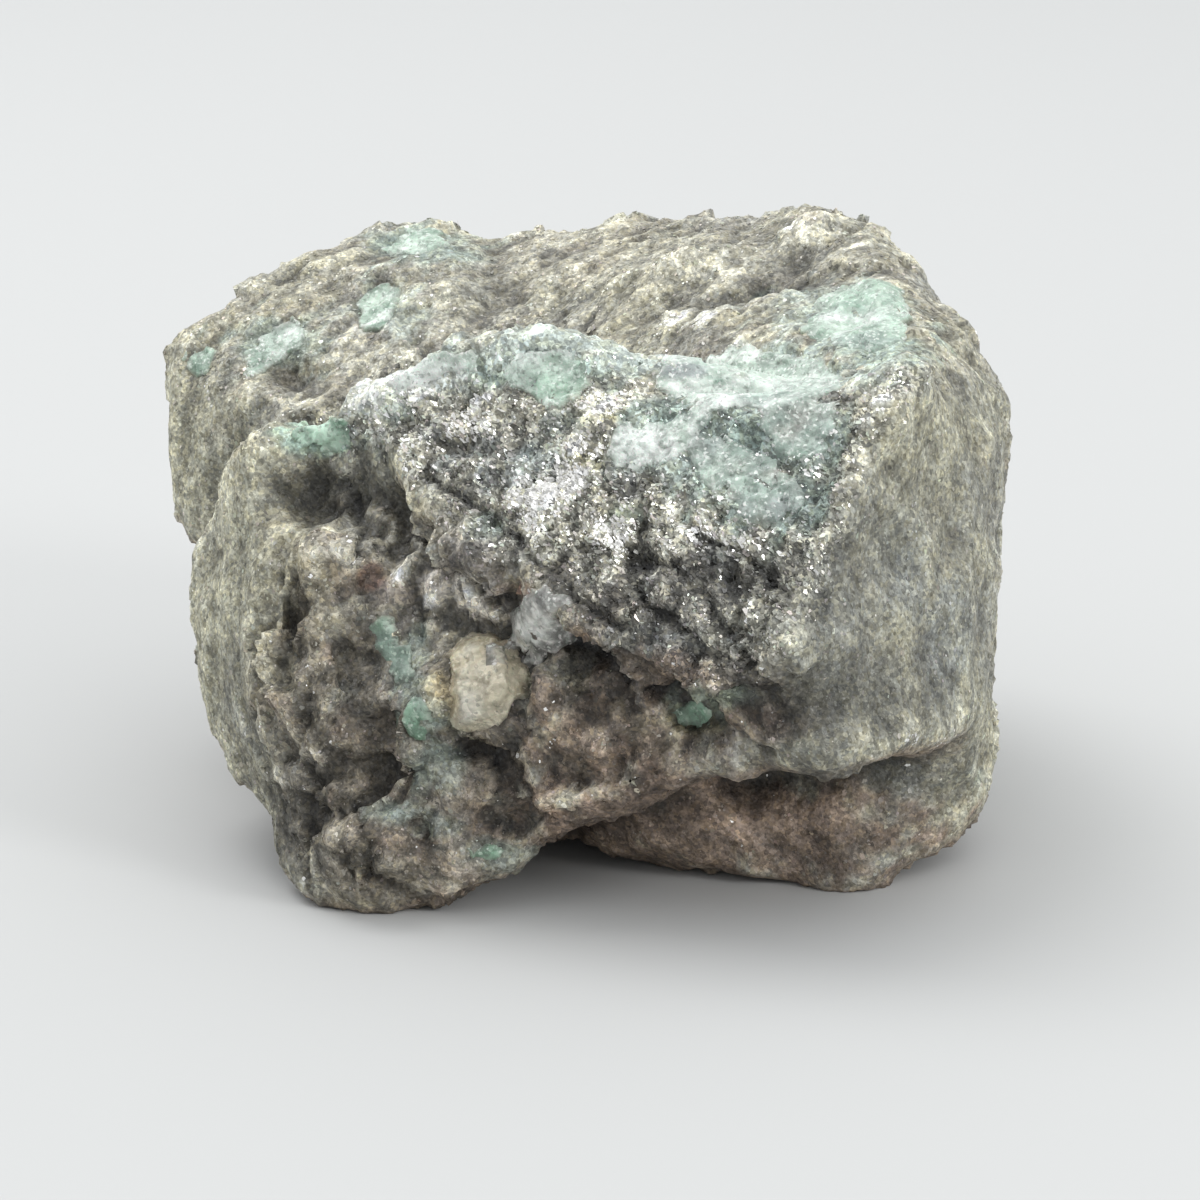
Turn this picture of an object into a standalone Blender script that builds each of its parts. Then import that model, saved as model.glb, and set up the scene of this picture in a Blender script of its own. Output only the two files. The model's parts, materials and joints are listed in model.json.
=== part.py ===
"""Emerald in matrix: a broken chunk of mica schist with beryl and quartz crystals grown in it.

The chunk is built as a stone breaks: convex blocks are grown together, hollows are pressed in,
and the broken surface gets lumps and the ledges of the schist's layers. Each crystal is then the
stone inside a small block around it, and the schist keeps a socket for it."""

import math

import bmesh
import bpy
import numpy as np
from mathutils import Matrix, Vector, noise
from mathutils.bvhtree import BVHTree

MM = 0.001
COLLECTION = "emerald_in_matrix"

# The chunk was measured in one view. A point of it is written (right, up, away) in millimetres:
# right and up in the plane of the view, away along the line of sight, from the middle of the view.
VIEW_ELEVATION = math.radians(18)
VIEW_DISTANCE = 220.0
VIEW_MIDDLE_RIGHT = 0.55
VIEW_MIDDLE_UP = -2.2

# Schist splits along its layers of mica. This is the direction across them, in the upright frame.
ACROSS_LAYERS = Vector((0.42, -0.80, 0.43)).normalized()

# The skin of the chunk: the size of the cubes that it is made with, how often it is smoothed, what
# it is swollen by to make up for the smoothing, and how many triangles it keeps.
VOXEL = 0.55
SMOOTH_ROUNDS = 1
SWELL = 0.2
ROCK_TRIANGLES = 6400

# The lowest bosses are cut off level at this height, and the chunk rests on the flats.
FLOOR = -16.1

# Between a crystal and its socket there is a gap, and edges shorter than the tiny edge are merged.
# Corners within the last distance of the level cut count as on it.
GAP = 0.25
TINY_EDGE = 0.02
FLAT_ANGLE = math.radians(1)
ON_THE_CUT = 1e-4

# Lumps and knobs of the broken surface, and the ledges where it cuts across the layers: each has
# a size along the surface and a height. The layers wave, and ledges show in patches only.
LUMP_SIZE, LUMP_HEIGHT = 6.5, 0.55
KNOB_SIZE, KNOB_HEIGHT = 3.0, 0.35
LEDGE_SIZE, LEDGE_HEIGHT = 3.4, 0.9
LEDGE_WAVE_SIZE, LEDGE_WAVE = 9.0, 0.7
PATCH_SIZE, PATCH_SHARE, PATCH_SPREAD = 11.0, 0.5, 0.9

# Where the chunk has split along its layers, the surface lies on the face of a layer. It is drawn
# there by a share of the way, less on the side that faces the view, where the faces are broken.
LAYER = 2.6
LAYER_WAVE_SIZE, LAYER_WAVE = 7.0, 1.5
LAYER_FACE_START, LAYER_FACE_RISE = 0.35, 0.3
LAYER_SHARE = 0.8
SEEN_SHARE = 0.2

# Places in the field of noise that keep the lumps, knobs, ledges, patches and layers unlike.
LUMP_SEED = Vector((0, 0, 0))
KNOB_SEED = Vector((9, 4, 1))
LEDGE_SEED = Vector((3, 7, 5))
PATCH_SEED = Vector((1, 2, 8))
LAYER_SEED = Vector((6, 1, 2))

# The convex blocks that make up the chunk, each by the corners that stand out on it.
BLOCKS = {
    "front face": (
        (-14.0, 10.6, -3.5), (-11.0, 12.6, -4.0), (-8.2, 13.7, -4.5), (-5.5, 14.4, -5.0),
        (-2.1, 14.3, -5.5), (1.8, 13.4, -6.5), (9.8, 11.4, -9.5), (13.1, 11.6, -10.0),
        (17.3, 12.6, -9.0), (16.0, 10.7, -11.0), (14.9, 9.4, -12.0), (13.8, 5.5, -14.0),
        (11.6, 2.2, -15.0), (9.9, -1.1, -16.0), (10.5, -5.5, -15.6), (12.6, -8.8, -14.0),
        (7.7, -5.5, -15.0), (-11.0, 6.6, -6.0), (-6.6, 2.2, -9.5), (-2.2, 0.0, -12.0),
        (4.4, -5.0, -14.3), (-8.0, 10.0, 2.0), (8.0, 8.0, 6.0), (-8.0, -6.0, 0.0), (10.0, -8.0, 0.0),
    ),
    "under the ledge": (
        (-11.0, 5.6, -3.4), (-6.0, 0.4, -5.0), (0.5, -3.8, -7.0), (7.0, -7.0, -10.0),
        (9.4, -8.6, -12.0), (6.2, -9.0, -10.6), (3.7, -9.9, -9.6), (0.9, -11.2, -8.8),
        (-2.2, -12.3, -7.8), (-3.9, -13.4, -6.8), (-8.5, -13.0, -8.0), (-12.0, -6.0, -8.5),
        (-10.0, 6.0, 4.0), (8.0, -4.0, 4.0), (-4.0, -11.0, 3.0), (-12.0, -8.0, 3.0),
    ),
    "left flank": (
        (-19.9, 8.6, -2.2), (-16.0, 9.6, -3.2), (-14.0, 10.6, -3.5), (-11.0, 10.0, -4.0),
        (-22.4, 3.8, 2.0), (-23.0, 2.0, 2.0), (-22.8, -1.5, 2.0), (-22.3, -4.4, 1.0),
        (-21.4, -7.5, 0.0), (-20.5, -9.4, -1.0), (-19.2, -11.1, -2.0), (-17.5, -2.0, -6.5),
        (-15.5, -8.0, -7.8), (-10.0, -10.0, -8.0), (-9.0, 2.0, -6.0), (-16.0, 6.0, 6.0),
        (-20.0, -6.0, 6.0), (-8.0, -8.0, 6.0), (-6.0, 8.0, 2.0),
    ),
    "lower left lobe": (
        (-17.6, -12.8, -4.0), (-17.1, -16.2, -4.8), (-14.6, -17.2, -5.2), (-12.9, -17.9, -6.0),
        (-11.7, -17.5, -6.4), (-10.2, -15.7, -6.8), (-7.0, -14.8, -7.4), (-4.6, -14.7, -7.2),
        (-3.7, -13.7, -6.6), (-18.8, -10.8, -2.0), (-13.0, -12.0, -8.6), (-8.0, -11.0, -8.8),
        (-15.0, -8.0, -7.0), (-3.0, -10.0, -7.0), (-14.0, -13.0, 3.0), (-5.0, -13.0, 2.0),
        (-16.0, -8.0, 4.0), (-4.0, -8.0, 3.0),
    ),
    "right face": (
        (17.3, 12.6, -9.0), (16.0, 10.7, -10.8), (14.9, 9.4, -11.6), (13.8, 5.5, -13.6),
        (11.6, 2.2, -14.4), (10.5, -5.5, -15.0), (12.6, -8.9, -13.8), (15.2, -8.5, -12.0),
        (16.8, -8.0, -10.0), (19.4, -7.4, -7.0), (20.6, -6.6, -5.0), (19.9, 14.7, 4.0),
        (20.7, 12.4, 3.0), (21.2, 10.5, 2.0), (21.6, 6.0, 2.0), (21.8, 2.2, 2.0),
        (21.9, -4.2, 2.0), (21.6, -7.0, 1.0), (20.6, -1.0, -4.0), (20.1, 6.0, -5.0),
        (8.0, 8.0, 4.0), (8.0, -8.0, 2.0), (19.0, 8.0, 14.0), (19.0, -6.0, 14.0),
    ),
    "foot": (
        (21.4, -11.4, 1.0), (20.6, -12.6, 0.0), (17.9, -13.5, -1.0), (14.9, -15.4, -3.0),
        (13.5, -15.9, -3.3), (10.5, -14.9, -3.0), (7.7, -14.3, -2.0), (2.2, -13.8, 0.0),
        (-3.2, -13.5, 1.0), (21.9, -7.0, 1.0), (20.6, -7.0, -3.0), (14.0, -7.0, -6.0),
        (6.0, -8.0, -4.0), (-2.0, -8.0, 0.0), (-9.0, -11.5, 8.0), (18.5, -4.0, 18.0),
        (17.0, -7.8, 18.0), (3.0, -6.2, 22.0), (-5.0, -6.2, 22.0), (12.0, -6.0, 22.0),
        (-14.0, -8.0, 12.0),
    ),
    "back left lobe": (
        (-23.9, 12.3, 14.0), (-23.3, 14.2, 15.0), (-20.9, 16.2, 16.0), (-16.4, 19.1, 18.0),
        (-12.4, 20.7, 20.0), (-9.9, 21.3, 21.0), (-8.3, 21.1, 21.0), (-6.8, 20.3, 21.0),
        (-23.9, 8.8, 14.0), (-23.5, 5.8, 13.0), (-22.9, 3.0, 12.0), (-17.0, 10.0, 8.0),
        (-8.0, 12.0, 9.0), (-18.0, 2.0, 8.0), (-21.0, 6.0, 21.0), (-17.0, 12.0, 25.0),
        (-8.0, 15.0, 27.0), (-16.0, -2.0, 22.0), (-6.0, -4.0, 24.0), (-4.0, 12.0, 12.0),
    ),
    "back ridge": (
        (-6.1, 19.4, 21.0), (-3.6, 20.0, 22.0), (-1.2, 20.4, 22.0), (1.3, 20.8, 22.0),
        (3.2, 21.4, 21.0), (5.5, 21.6, 20.0), (9.6, 21.3, 18.0), (12.0, 21.6, 15.0),
        (13.5, 21.5, 14.0), (14.8, 21.0, 13.0), (15.5, 19.9, 11.0), (16.2, 18.8, 9.0),
        (17.9, 17.1, 8.0), (20.2, 14.7, 4.0), (17.3, 12.6, -8.0), (10.0, 12.2, 0.0),
        (0.0, 13.6, 8.0), (-6.0, 13.0, 10.0), (20.0, 10.0, 16.0), (14.0, 14.0, 24.0),
        (2.0, 14.0, 28.0), (-6.0, 13.0, 27.0), (16.0, -4.0, 21.0), (0.0, -6.0, 25.0),
        (20.0, -4.0, 12.0), (-8.0, -4.0, 24.0), (-4.0, 2.0, 6.0),
    ),
    "core": (
        (-18.0, 6.5, 5.0), (-14.0, -8.0, 2.0), (14.0, -8.0, 0.0), (18.0, 4.0, 4.0),
        (-19.0, 6.0, 14.0), (-12.0, -8.0, 18.0), (14.0, -8.0, 18.0), (16.0, 6.0, 18.0),
        (-8.0, 10.5, 6.0), (3.0, 12.0, 3.0), (10.0, 10.0, 10.0),
    ),
    "left back base": (
        (-19.0, 4.0, 5.0), (-20.5, 0.0, 8.0), (-18.5, -8.0, 6.0), (-15.0, -11.0, 9.0),
        (-19.0, 3.0, 15.0), (-17.0, -3.0, 19.0), (-12.0, -7.4, 19.0), (-6.0, -6.3, 22.0),
        (-6.0, -4.0, 24.5), (-8.0, 6.0, 6.0), (-4.0, 12.0, 20.0), (0.0, -8.0, 8.0), (-14.0, 9.0, 9.0),
    ),
    "underside": (
        (-7.0, -13.2, 2.0), (-3.0, -13.9, 0.6), (1.0, -14.3, -0.4), (5.0, -14.6, -1.4),
        (9.0, -15.2, -2.8), (-6.0, -10.0, -4.0), (7.0, -10.0, -5.4), (-9.0, -8.8, 14.0),
        (10.0, -8.8, 14.0), (-8.0, -5.0, 4.0), (8.0, -5.0, 4.0),
    ),
    "right front boss": (
        (11.6, -16.2, -3.2), (13.5, -16.6, -3.3), (15.0, -16.1, -2.8), (11.0, -14.4, 3.0),
        (15.5, -14.4, 3.0), (13.0, -11.0, -2.0), (13.0, -10.0, 4.0),
    ),
    "right back boss": (
        (11.5, -9.6, 14.0), (15.5, -9.5, 13.5), (16.0, -9.1, 17.5), (12.0, -9.1, 18.0),
        (13.0, -5.0, 13.0), (14.0, -4.0, 18.0),
    ),
    "left back boss": (
        (-12.0, -10.2, 13.0), (-8.0, -10.0, 14.0), (-8.5, -9.2, 17.5), (-12.5, -9.4, 16.5),
        (-10.0, -5.0, 13.0), (-10.0, -4.0, 17.0),
    ),
    "valley floor": (
        (-13.0, 8.6, 3.0), (-3.0, 11.8, 2.0), (-13.0, 10.4, 11.0), (-3.0, 13.2, 13.0),
        (-8.0, 11.8, 8.0), (-12.0, 0.0, 6.0), (-2.0, 0.0, 8.0),
    ),
}

# Hollows seen in the view, as (right, up), the radius across, the radius upwards and the depth.
HOLLOWS = (
    ((-15.8, 6.2), 2.7, 1.9, 2.6),
    ((-12.6, 5.6), 1.6, 1.4, 0.9),
    ((-17.1, -1.8), 0.8, 2.2, 1.0),
    ((-15.4, -6.5), 0.8, 1.4, 0.8),
    ((-13.0, -3.2), 1.3, 1.5, 1.2),
    ((-12.9, -10.0), 2.4, 1.4, 1.5),
    ((-5.8, -8.9), 2.3, 1.5, 1.8),
    ((-5.2, -12.4), 1.6, 1.3, 1.2),
    ((-9.6, -12.6), 1.2, 1.0, 0.8),
    ((9.2, -5.9), 2.2, 1.5, 1.8),
    ((8.1, 8.4), 0.9, 0.8, 0.5),
    ((2.7, 3.4), 1.0, 1.4, 0.6),
    ((7.1, 1.1), 1.6, 1.0, 0.5),
    ((7.6, 12.6), 4.4, 1.8, 2.4),
    ((15.2, 15.6), 2.2, 1.4, 0.9),
    ((-16.8, 12.6), 1.6, 1.0, 1.3),
    ((10.0, 17.2), 2.6, 0.9, 1.3),
    ((3.0, 16.0), 2.4, 0.8, 1.0),
    ((-9.0, 17.0), 1.6, 1.2, 0.9),
)

# Lines seen in the view, as (right, up): the groove under the ledge and the ledge's rim, the ridge
# between the slope and the right face and the dip beside it, the crest of the front, the rim that
# hangs over the foot and the cut under it, and the ridges and cracks of the back.
GROOVE = ((-10.6, 4.0), (-8.3, 2.2), (-5.6, 0.6), (-2.6, -1.4), (0.2, -3.6), (2.8, -5.2), (5.6, -6.4))
RIGHT_RIDGE = ((17.2, 12.3), (16.0, 10.4), (14.7, 8.8), (13.6, 5.4), (11.4, 2.1), (9.9, -1.0), (10.4, -5.4))
BESIDE_RIDGE = ((12.9, 7.6), (11.6, 4.2), (9.4, 1.0), (7.8, -1.8))
CREST = ((-18.6, 8.3), (-16.0, 9.3), (-13.6, 10.3), (-11.2, 12.0), (-8.4, 13.2), (-5.4, 14.0), (-2.2, 13.9))
CREST_RIGHT = ((4.8, 12.0), (6.2, 10.2), (9.8, 10.9), (13.0, 11.2), (16.6, 12.0))
LEDGE_RIM = ((-6.6, 2.4), (-3.8, 0.9), (-1.2, -0.9), (1.6, -2.9), (4.4, -4.6), (7.6, -5.2))
OVERHANG_RIM = ((-0.4, -11.0), (2.2, -9.7), (6.2, -8.7), (9.4, -8.3), (12.9, -8.6), (16.6, -7.5))
UNDERCUT = ((-1.6, -13.3), (0.6, -12.6), (3.2, -11.3), (6.8, -10.2), (9.6, -9.9), (12.9, -10.1), (16.6, -9.1))
BACK_CREVICE = ((7.4, 16.7), (9.2, 17.5), (10.8, 18.4))
BACK_RIDGE = ((3.8, 17.6), (6.2, 18.3), (8.2, 18.9))
BACK_KNOB = ((10.4, 19.1), (11.6, 19.8), (12.6, 20.3))
LEFT_CREVICE = ((-18.6, 13.4), (-17.2, 12.3), (-16.0, 11.6))

# What is pressed along lines: the line, the radius round it and the height, below zero for a groove.
LINES = (
    (GROOVE, 1.3, -1.6),
    (RIGHT_RIDGE, 1.0, 0.75),
    (BESIDE_RIDGE, 1.8, -0.6),
    (CREST, 1.0, 0.6),
    (CREST_RIGHT, 0.8, 0.5),
    (LEDGE_RIM, 0.9, 0.6),
    (OVERHANG_RIM, 0.9, 0.6),
    (UNDERCUT, 1.2, -1.3),
    (BACK_CREVICE, 0.9, -1.0),
    (BACK_RIDGE, 0.9, 0.7),
    (BACK_KNOB, 0.9, 0.6),
    (LEFT_CREVICE, 0.9, -1.0),
)
LINE_SPACING = 0.6

# Lumps that stand out, written as the hollows are.
LUMPS = (
    ((-14.6, 3.1), 1.7, 1.2, 1.0),
    ((-18.4, 7.6), 1.5, 1.1, 0.7),
    ((-1.8, -5.2), 2.0, 1.6, 0.9),
    ((-13.6, -14.6), 1.8, 1.4, 0.7),
    ((-9.2, -6.0), 1.0, 1.6, 0.5),
    ((-7.6, -13.4), 1.4, 1.0, 0.6),
    ((4.6, 18.0), 2.4, 0.9, 0.9),
    ((11.6, 19.8), 2.2, 0.8, 1.0),
    ((6.0, 15.0), 1.6, 0.8, 0.7),
    ((-12.0, 17.6), 2.0, 1.0, 0.7),
    ((-19.4, 11.0), 1.4, 1.2, 0.7),
)

# Hollows and lumps on the sides away from the view: the direction from the middle of the chunk, as
# degrees round from the view to the right and degrees up, then the radius and the height.
FAR_MARKS = (
    ((158, 22), 6.5, -2.2),
    ((196, -8), 7.5, -2.6),
    ((176, -30), 4.0, 1.6),
    ((222, 12), 5.0, -1.6),
    ((208, 34), 3.6, 1.3),
    ((140, -12), 5.0, 1.5),
    ((118, 8), 4.6, -1.4),
    ((96, -22), 4.0, -1.0),
    ((84, 18), 4.4, 0.9),
    ((82, -5), 1.6, -1.3),
    ((250, -16), 4.6, -1.2),
    ((280, 4), 3.2, -1.0),
    ((100, -58), 4.6, -1.3),
    ((200, -66), 5.0, -1.4),
    ((310, -62), 4.6, -1.6),
    ((20, -70), 5.0, -1.2),
)
CHUNK_MIDDLE = Vector((0.0, 5.0, -1.0))

# A mark acts in full on a surface within 60 degrees of the mark's own, and on none turned away.
FACING_GAIN = 2.0

# Crystals whose broken face lies in the stone's surface, by their outlines (right, up) in the view.
EMERALDS = {
    "emerald_main": (
        ((2.9, 11.8), (3.7, 12.8), (5.8, 13.5), (8.3, 13.9), (11.0, 13.6), (13.0, 12.5),
         (13.3, 11.7), (11.0, 10.9), (8.0, 10.2), (6.2, 10.4), (5.0, 11.2)),
        ((8.6, 10.9), (11.0, 11.1), (13.2, 11.3), (13.0, 9.6), (12.4, 8.3), (11.0, 7.7),
         (9.6, 8.3), (8.7, 9.4)),
    ),
    "emerald_upper_right": (
        ((11.1, 14.9), (11.7, 16.2), (13.2, 17.3), (15.4, 17.6), (16.8, 17.0), (17.1, 15.7),
         (16.7, 14.4), (14.9, 13.7), (12.7, 14.0)),
    ),
    "emerald_crest": (
        ((-5.4, 12.8), (-4.4, 13.6), (-2.2, 13.8), (-0.6, 13.1), (-0.1, 12.1), (-0.8, 10.9),
         (-2.2, 10.5), (-3.9, 11.0), (-5.0, 11.7)),
    ),
    "emerald_crest_left": (
        ((-11.6, 11.9), (-9.9, 13.0), (-7.2, 13.8), (-6.2, 13.7), (-6.9, 12.8), (-9.3, 12.0),
         (-11.2, 11.4)),
    ),
    "emerald_pale_centre": (
        ((0.2, 8.0), (1.2, 9.6), (2.8, 10.1), (4.2, 10.2), (5.8, 10.7), (6.2, 10.0), (5.0, 8.8),
         (3.7, 7.6), (2.2, 7.0), (0.8, 7.2)),
    ),
    "emerald_slope": (
        ((4.7, 8.5), (6.3, 9.1), (7.6, 8.9), (8.8, 7.6), (10.8, 6.7), (11.3, 5.5), (10.7, 4.1),
         (9.1, 3.9), (7.7, 5.2), (5.8, 6.4)),
    ),
    "emerald_left_corner": (
        ((-17.1, 9.1), (-16.0, 9.6), (-14.6, 10.0), (-13.7, 9.6), (-14.0, 8.8), (-14.5, 8.0),
         (-15.9, 8.5)),
    ),
    "emerald_back_bright": (
        ((-13.4, 16.0), (-12.9, 17.2), (-11.8, 17.6), (-11.0, 17.1), (-11.1, 15.8), (-12.0, 14.9),
         (-13.1, 14.7)),
    ),
    "emerald_back_pale": (
        ((-19.5, 13.5), (-18.6, 14.7), (-17.0, 15.5), (-16.0, 15.3), (-16.5, 14.0), (-17.9, 12.9),
         (-19.1, 12.4)),
    ),
    "emerald_back_left": (
        ((-23.0, 12.5), (-22.6, 13.6), (-21.7, 13.9), (-21.2, 13.6), (-21.7, 12.6), (-22.5, 11.9)),
    ),
    "emerald_back_top": (
        ((-12.0, 19.4), (-10.8, 20.2), (-9.4, 20.5), (-8.1, 20.3), (-8.4, 19.6), (-9.9, 19.0),
         (-11.3, 19.0)),
    ),
    "emerald_low": (
        ((-10.9, -6.2), (-10.3, -5.4), (-9.3, -5.5), (-9.0, -6.6), (-9.5, -7.8), (-10.6, -7.6)),
    ),
    "emerald_streak": (
        ((-12.7, -1.2), (-11.8, -1.1), (-10.9, -2.5), (-10.2, -4.0), (-10.7, -4.5), (-11.7, -3.4),
         (-12.4, -2.3)),
    ),
    "emerald_lobe": (
        ((-7.3, -13.7), (-6.0, -13.4), (-4.5, -13.5), (-4.8, -14.1), (-6.0, -14.4), (-7.2, -14.3)),
    ),
    "emerald_under_ledge": (
        ((3.8, -6.1), (5.0, -5.6), (6.3, -5.8), (6.4, -6.5), (5.5, -7.1), (4.1, -6.9)),
    ),
}

# Crystals on the sides away from the view: the direction from the middle of the chunk, as above,
# the radius, the turn about that direction in degrees and the stretch along it.
CRYSTAL_SIDES = 6
FAR_EMERALDS = {
    "emerald_rear": ((172, 14), 3.0, 20, 1.5),
    "emerald_rear_low": ((212, -24), 2.0, 65, 1.2),
    "emerald_right_rear": ((104, -6), 2.4, 40, 1.3),
}

# Crystals that stand out of the stone as blunt blocks, by outline, height and the top's share.
QUARTZ = {
    "quartz_yellow": (
        ((-8.4, -3.0), (-7.2, -1.8), (-5.5, -1.7), (-4.6, -2.8), (-4.3, -5.0), (-5.1, -6.3),
         (-6.7, -7.3), (-8.1, -6.9), (-8.3, -5.0)),
        1.3, 0.72,
    ),
    "quartz_grey": (
        ((-4.8, -0.7), (-4.1, 0.5), (-2.8, 0.8), (-1.7, 0.0), (-1.5, -1.9), (-2.2, -3.0),
         (-3.6, -3.2), (-4.7, -2.2)),
        0.9, 0.66,
    ),
}

# Finishes by the start of a piece's name: the colour in linear light and the roughness.
FINISHES = {
    "schist": ((0.23, 0.22, 0.19), 0.55),
    "emerald_main": ((0.42, 0.66, 0.52), 0.35),
    "emerald_pale": ((0.50, 0.70, 0.58), 0.35),
    "emerald_slope": ((0.38, 0.56, 0.50), 0.35),
    "emerald_back_pale": ((0.38, 0.50, 0.50), 0.40),
    "emerald_left": ((0.10, 0.32, 0.18), 0.30),
    "emerald": ((0.22, 0.48, 0.34), 0.35),
    "quartz_yellow": ((0.55, 0.50, 0.34), 0.40),
    "quartz_grey": ((0.45, 0.46, 0.46), 0.30),
}

# A crystal reaches as deep as this share of its mean radius, up to a greatest depth.
DEPTH_SHARE = 0.95
GREATEST_DEPTH = 2.6
ROOT_SHARE = 0.72
HEADROOM = 2.2

# A corner of an outline that meets no stone, or stone further off than this many radii, is drawn
# in to the middle by this share at a time.
REACH = 2.2
DRAW_IN = 0.9


def upright(points):
    """The view's (right, up, away) turned to the upright frame (x, y, z), all in millimetres.

    The view widens with distance, so right and up grow by (distance + away) / distance."""
    right, up, away = np.asarray(points, float).T
    spread = (VIEW_DISTANCE + away) / VIEW_DISTANCE
    x = right * spread + VIEW_MIDDLE_RIGHT
    rise = up * spread + VIEW_MIDDLE_UP
    s, c = math.sin(VIEW_ELEVATION), math.cos(VIEW_ELEVATION)
    return np.stack([x, rise * s + away * c, rise * c - away * s], axis=1)


EYE = Vector(upright([(0.0, 0.0, -VIEW_DISTANCE)])[0])


def clear_scene():
    for ob in list(bpy.data.objects):
        bpy.data.objects.remove(ob, do_unlink=True)


def home():
    """The collection of the specimen, made when it is first asked for."""
    collection = bpy.data.collections.get(COLLECTION)
    if collection is None:
        collection = bpy.data.collections.new(COLLECTION)
        bpy.context.scene.collection.children.link(collection)
    return collection


def object_of(bm, name):
    """A new object from a bmesh, which is freed."""
    mesh = bpy.data.meshes.new(name)
    bm.to_mesh(mesh)
    bm.free()
    ob = bpy.data.objects.new(name, mesh)
    home().objects.link(ob)
    return ob


def apply_modifiers(ob):
    """Puts the evaluated mesh in place of the object's own and clears the modifiers."""
    graph = bpy.context.evaluated_depsgraph_get()
    mesh = bpy.data.meshes.new_from_object(ob.evaluated_get(graph))
    old = ob.data
    ob.modifiers.clear()
    ob.data = mesh
    bpy.data.meshes.remove(old)


def add_hull(bm, points):
    """One convex block around the given points."""
    verts = [bm.verts.new(p) for p in points]
    result = bmesh.ops.convex_hull(bm, input=verts)
    inside = [v for v in result["geom_interior"] if isinstance(v, bmesh.types.BMVert)]
    bmesh.ops.delete(bm, geom=inside, context="VERTS")


def coordinates(mesh):
    flat = np.empty(len(mesh.vertices) * 3, np.float32)
    mesh.vertices.foreach_get("co", flat)
    return flat.reshape(-1, 3).astype(float)


def normals(mesh):
    flat = np.empty(len(mesh.vertices) * 3, np.float32)
    mesh.vertices.foreach_get("normal", flat)
    return flat.reshape(-1, 3).astype(float)


def move_to(mesh, points):
    mesh.vertices.foreach_set("co", points.astype(np.float32).ravel())
    mesh.update()


def surface_tree(ob):
    """The surface of an object, ready for finding where lines meet it."""
    bm = bmesh.new()
    bm.from_mesh(ob.data)
    tree = BVHTree.FromBMesh(bm)
    bm.free()
    return tree


def seen_at(tree, right, up):
    """The surface point and its normal where the line of sight through (right, up) meets it."""
    aim = Vector(upright([(right, up, 0.0)])[0])
    point, normal, _, _ = tree.ray_cast(EYE, (aim - EYE).normalized())
    return point, normal


def direction(degrees_round, degrees_up):
    """The unit vector that points out of the chunk in a direction given by two angles."""
    turn, rise = math.radians(degrees_round), math.radians(degrees_up)
    return Vector((math.sin(turn) * math.cos(rise), -math.cos(turn) * math.cos(rise), math.sin(rise)))


def found_far(tree, degrees):
    """The surface point and its normal in a direction from the middle of the chunk."""
    out = direction(*degrees)
    point, normal, _, _ = tree.ray_cast(CHUNK_MIDDLE + out * VIEW_DISTANCE, -out)
    return point, normal


def remesh(ob, rounds):
    """One closed skin round all of the mesh, made of small cubes' faces and smoothed that often."""
    skin = ob.modifiers.new("skin", "REMESH")
    skin.mode = "VOXEL"
    skin.voxel_size = VOXEL
    smooth = ob.modifiers.new("smooth", "SMOOTH")
    smooth.iterations = rounds
    apply_modifiers(ob)


def grow_blocks():
    """All blocks, joined in one closed mesh."""
    bm = bmesh.new()
    for corners in BLOCKS.values():
        add_hull(bm, upright(corners))
    rock = object_of(bm, "schist_matrix")
    remesh(rock, SMOOTH_ROUNDS)
    return rock


def spaced(line):
    """Points along a line of corners, evenly spaced on each stretch of it."""
    for start, end in zip(line, line[1:]):
        steps = math.ceil(math.dist(start, end) / LINE_SPACING)
        for k in range(steps + 1):
            yield np.array(start) + (np.array(end) - np.array(start)) * k / steps


def mark_share(points, out, mark, wide, high):
    """From 1 on a mark to 0 far from it or on a surface that is turned away from the mark's own."""
    middle, normal = mark
    away = points - np.array(middle)
    across, upward = away[:, 0], np.hypot(away[:, 1], away[:, 2])
    facing = np.clip(out @ np.array(normal) * FACING_GAIN, 0.0, 1.0)
    return np.exp(-((across / wide) ** 2) - (upward / high) ** 2) * facing


def press(rock):
    """Moves the surface in at the hollows and grooves, and out at the lumps and ridges."""
    tree = surface_tree(rock)
    points, out = coordinates(rock.data), normals(rock.data)
    push = np.zeros(len(points))
    marks = [(at, wide, high, -depth) for at, wide, high, depth in HOLLOWS] + list(LUMPS)
    marks = [(seen_at(tree, *at), wide, high, height) for at, wide, high, height in marks]
    marks += [(found_far(tree, at), radius, radius, height) for at, radius, height in FAR_MARKS]
    for mark, wide, high, height in marks:
        push += height * mark_share(points, out, mark, wide, high)
    for line, radius, height in LINES:
        places = [seen_at(tree, *at) for at in spaced(line)]
        push += height * np.max([mark_share(points, out, p, radius, radius) for p in places], axis=0)
    move_to(rock.data, points + out * push[:, None])


def relief(p, out):
    """How far the broken surface stands out at a point: lumps, and the ledges of the layers."""
    lumps = LUMP_HEIGHT * noise.noise(p / LUMP_SIZE + LUMP_SEED)
    knobs = KNOB_HEIGHT * noise.noise(p / KNOB_SIZE + KNOB_SEED)
    wave = LEDGE_WAVE * noise.noise(p / LEDGE_WAVE_SIZE + LEDGE_SEED)
    level = p.dot(ACROSS_LAYERS) / LEDGE_SIZE + wave
    ledge = (level - math.floor(level) - 0.5) * LEDGE_HEIGHT
    across = 1.0 - out.dot(ACROSS_LAYERS) ** 2
    patch = PATCH_SHARE + PATCH_SPREAD * noise.noise(p / PATCH_SIZE + PATCH_SEED)
    return lumps + knobs + ledge * across * max(0.0, min(1.0, patch))


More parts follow.
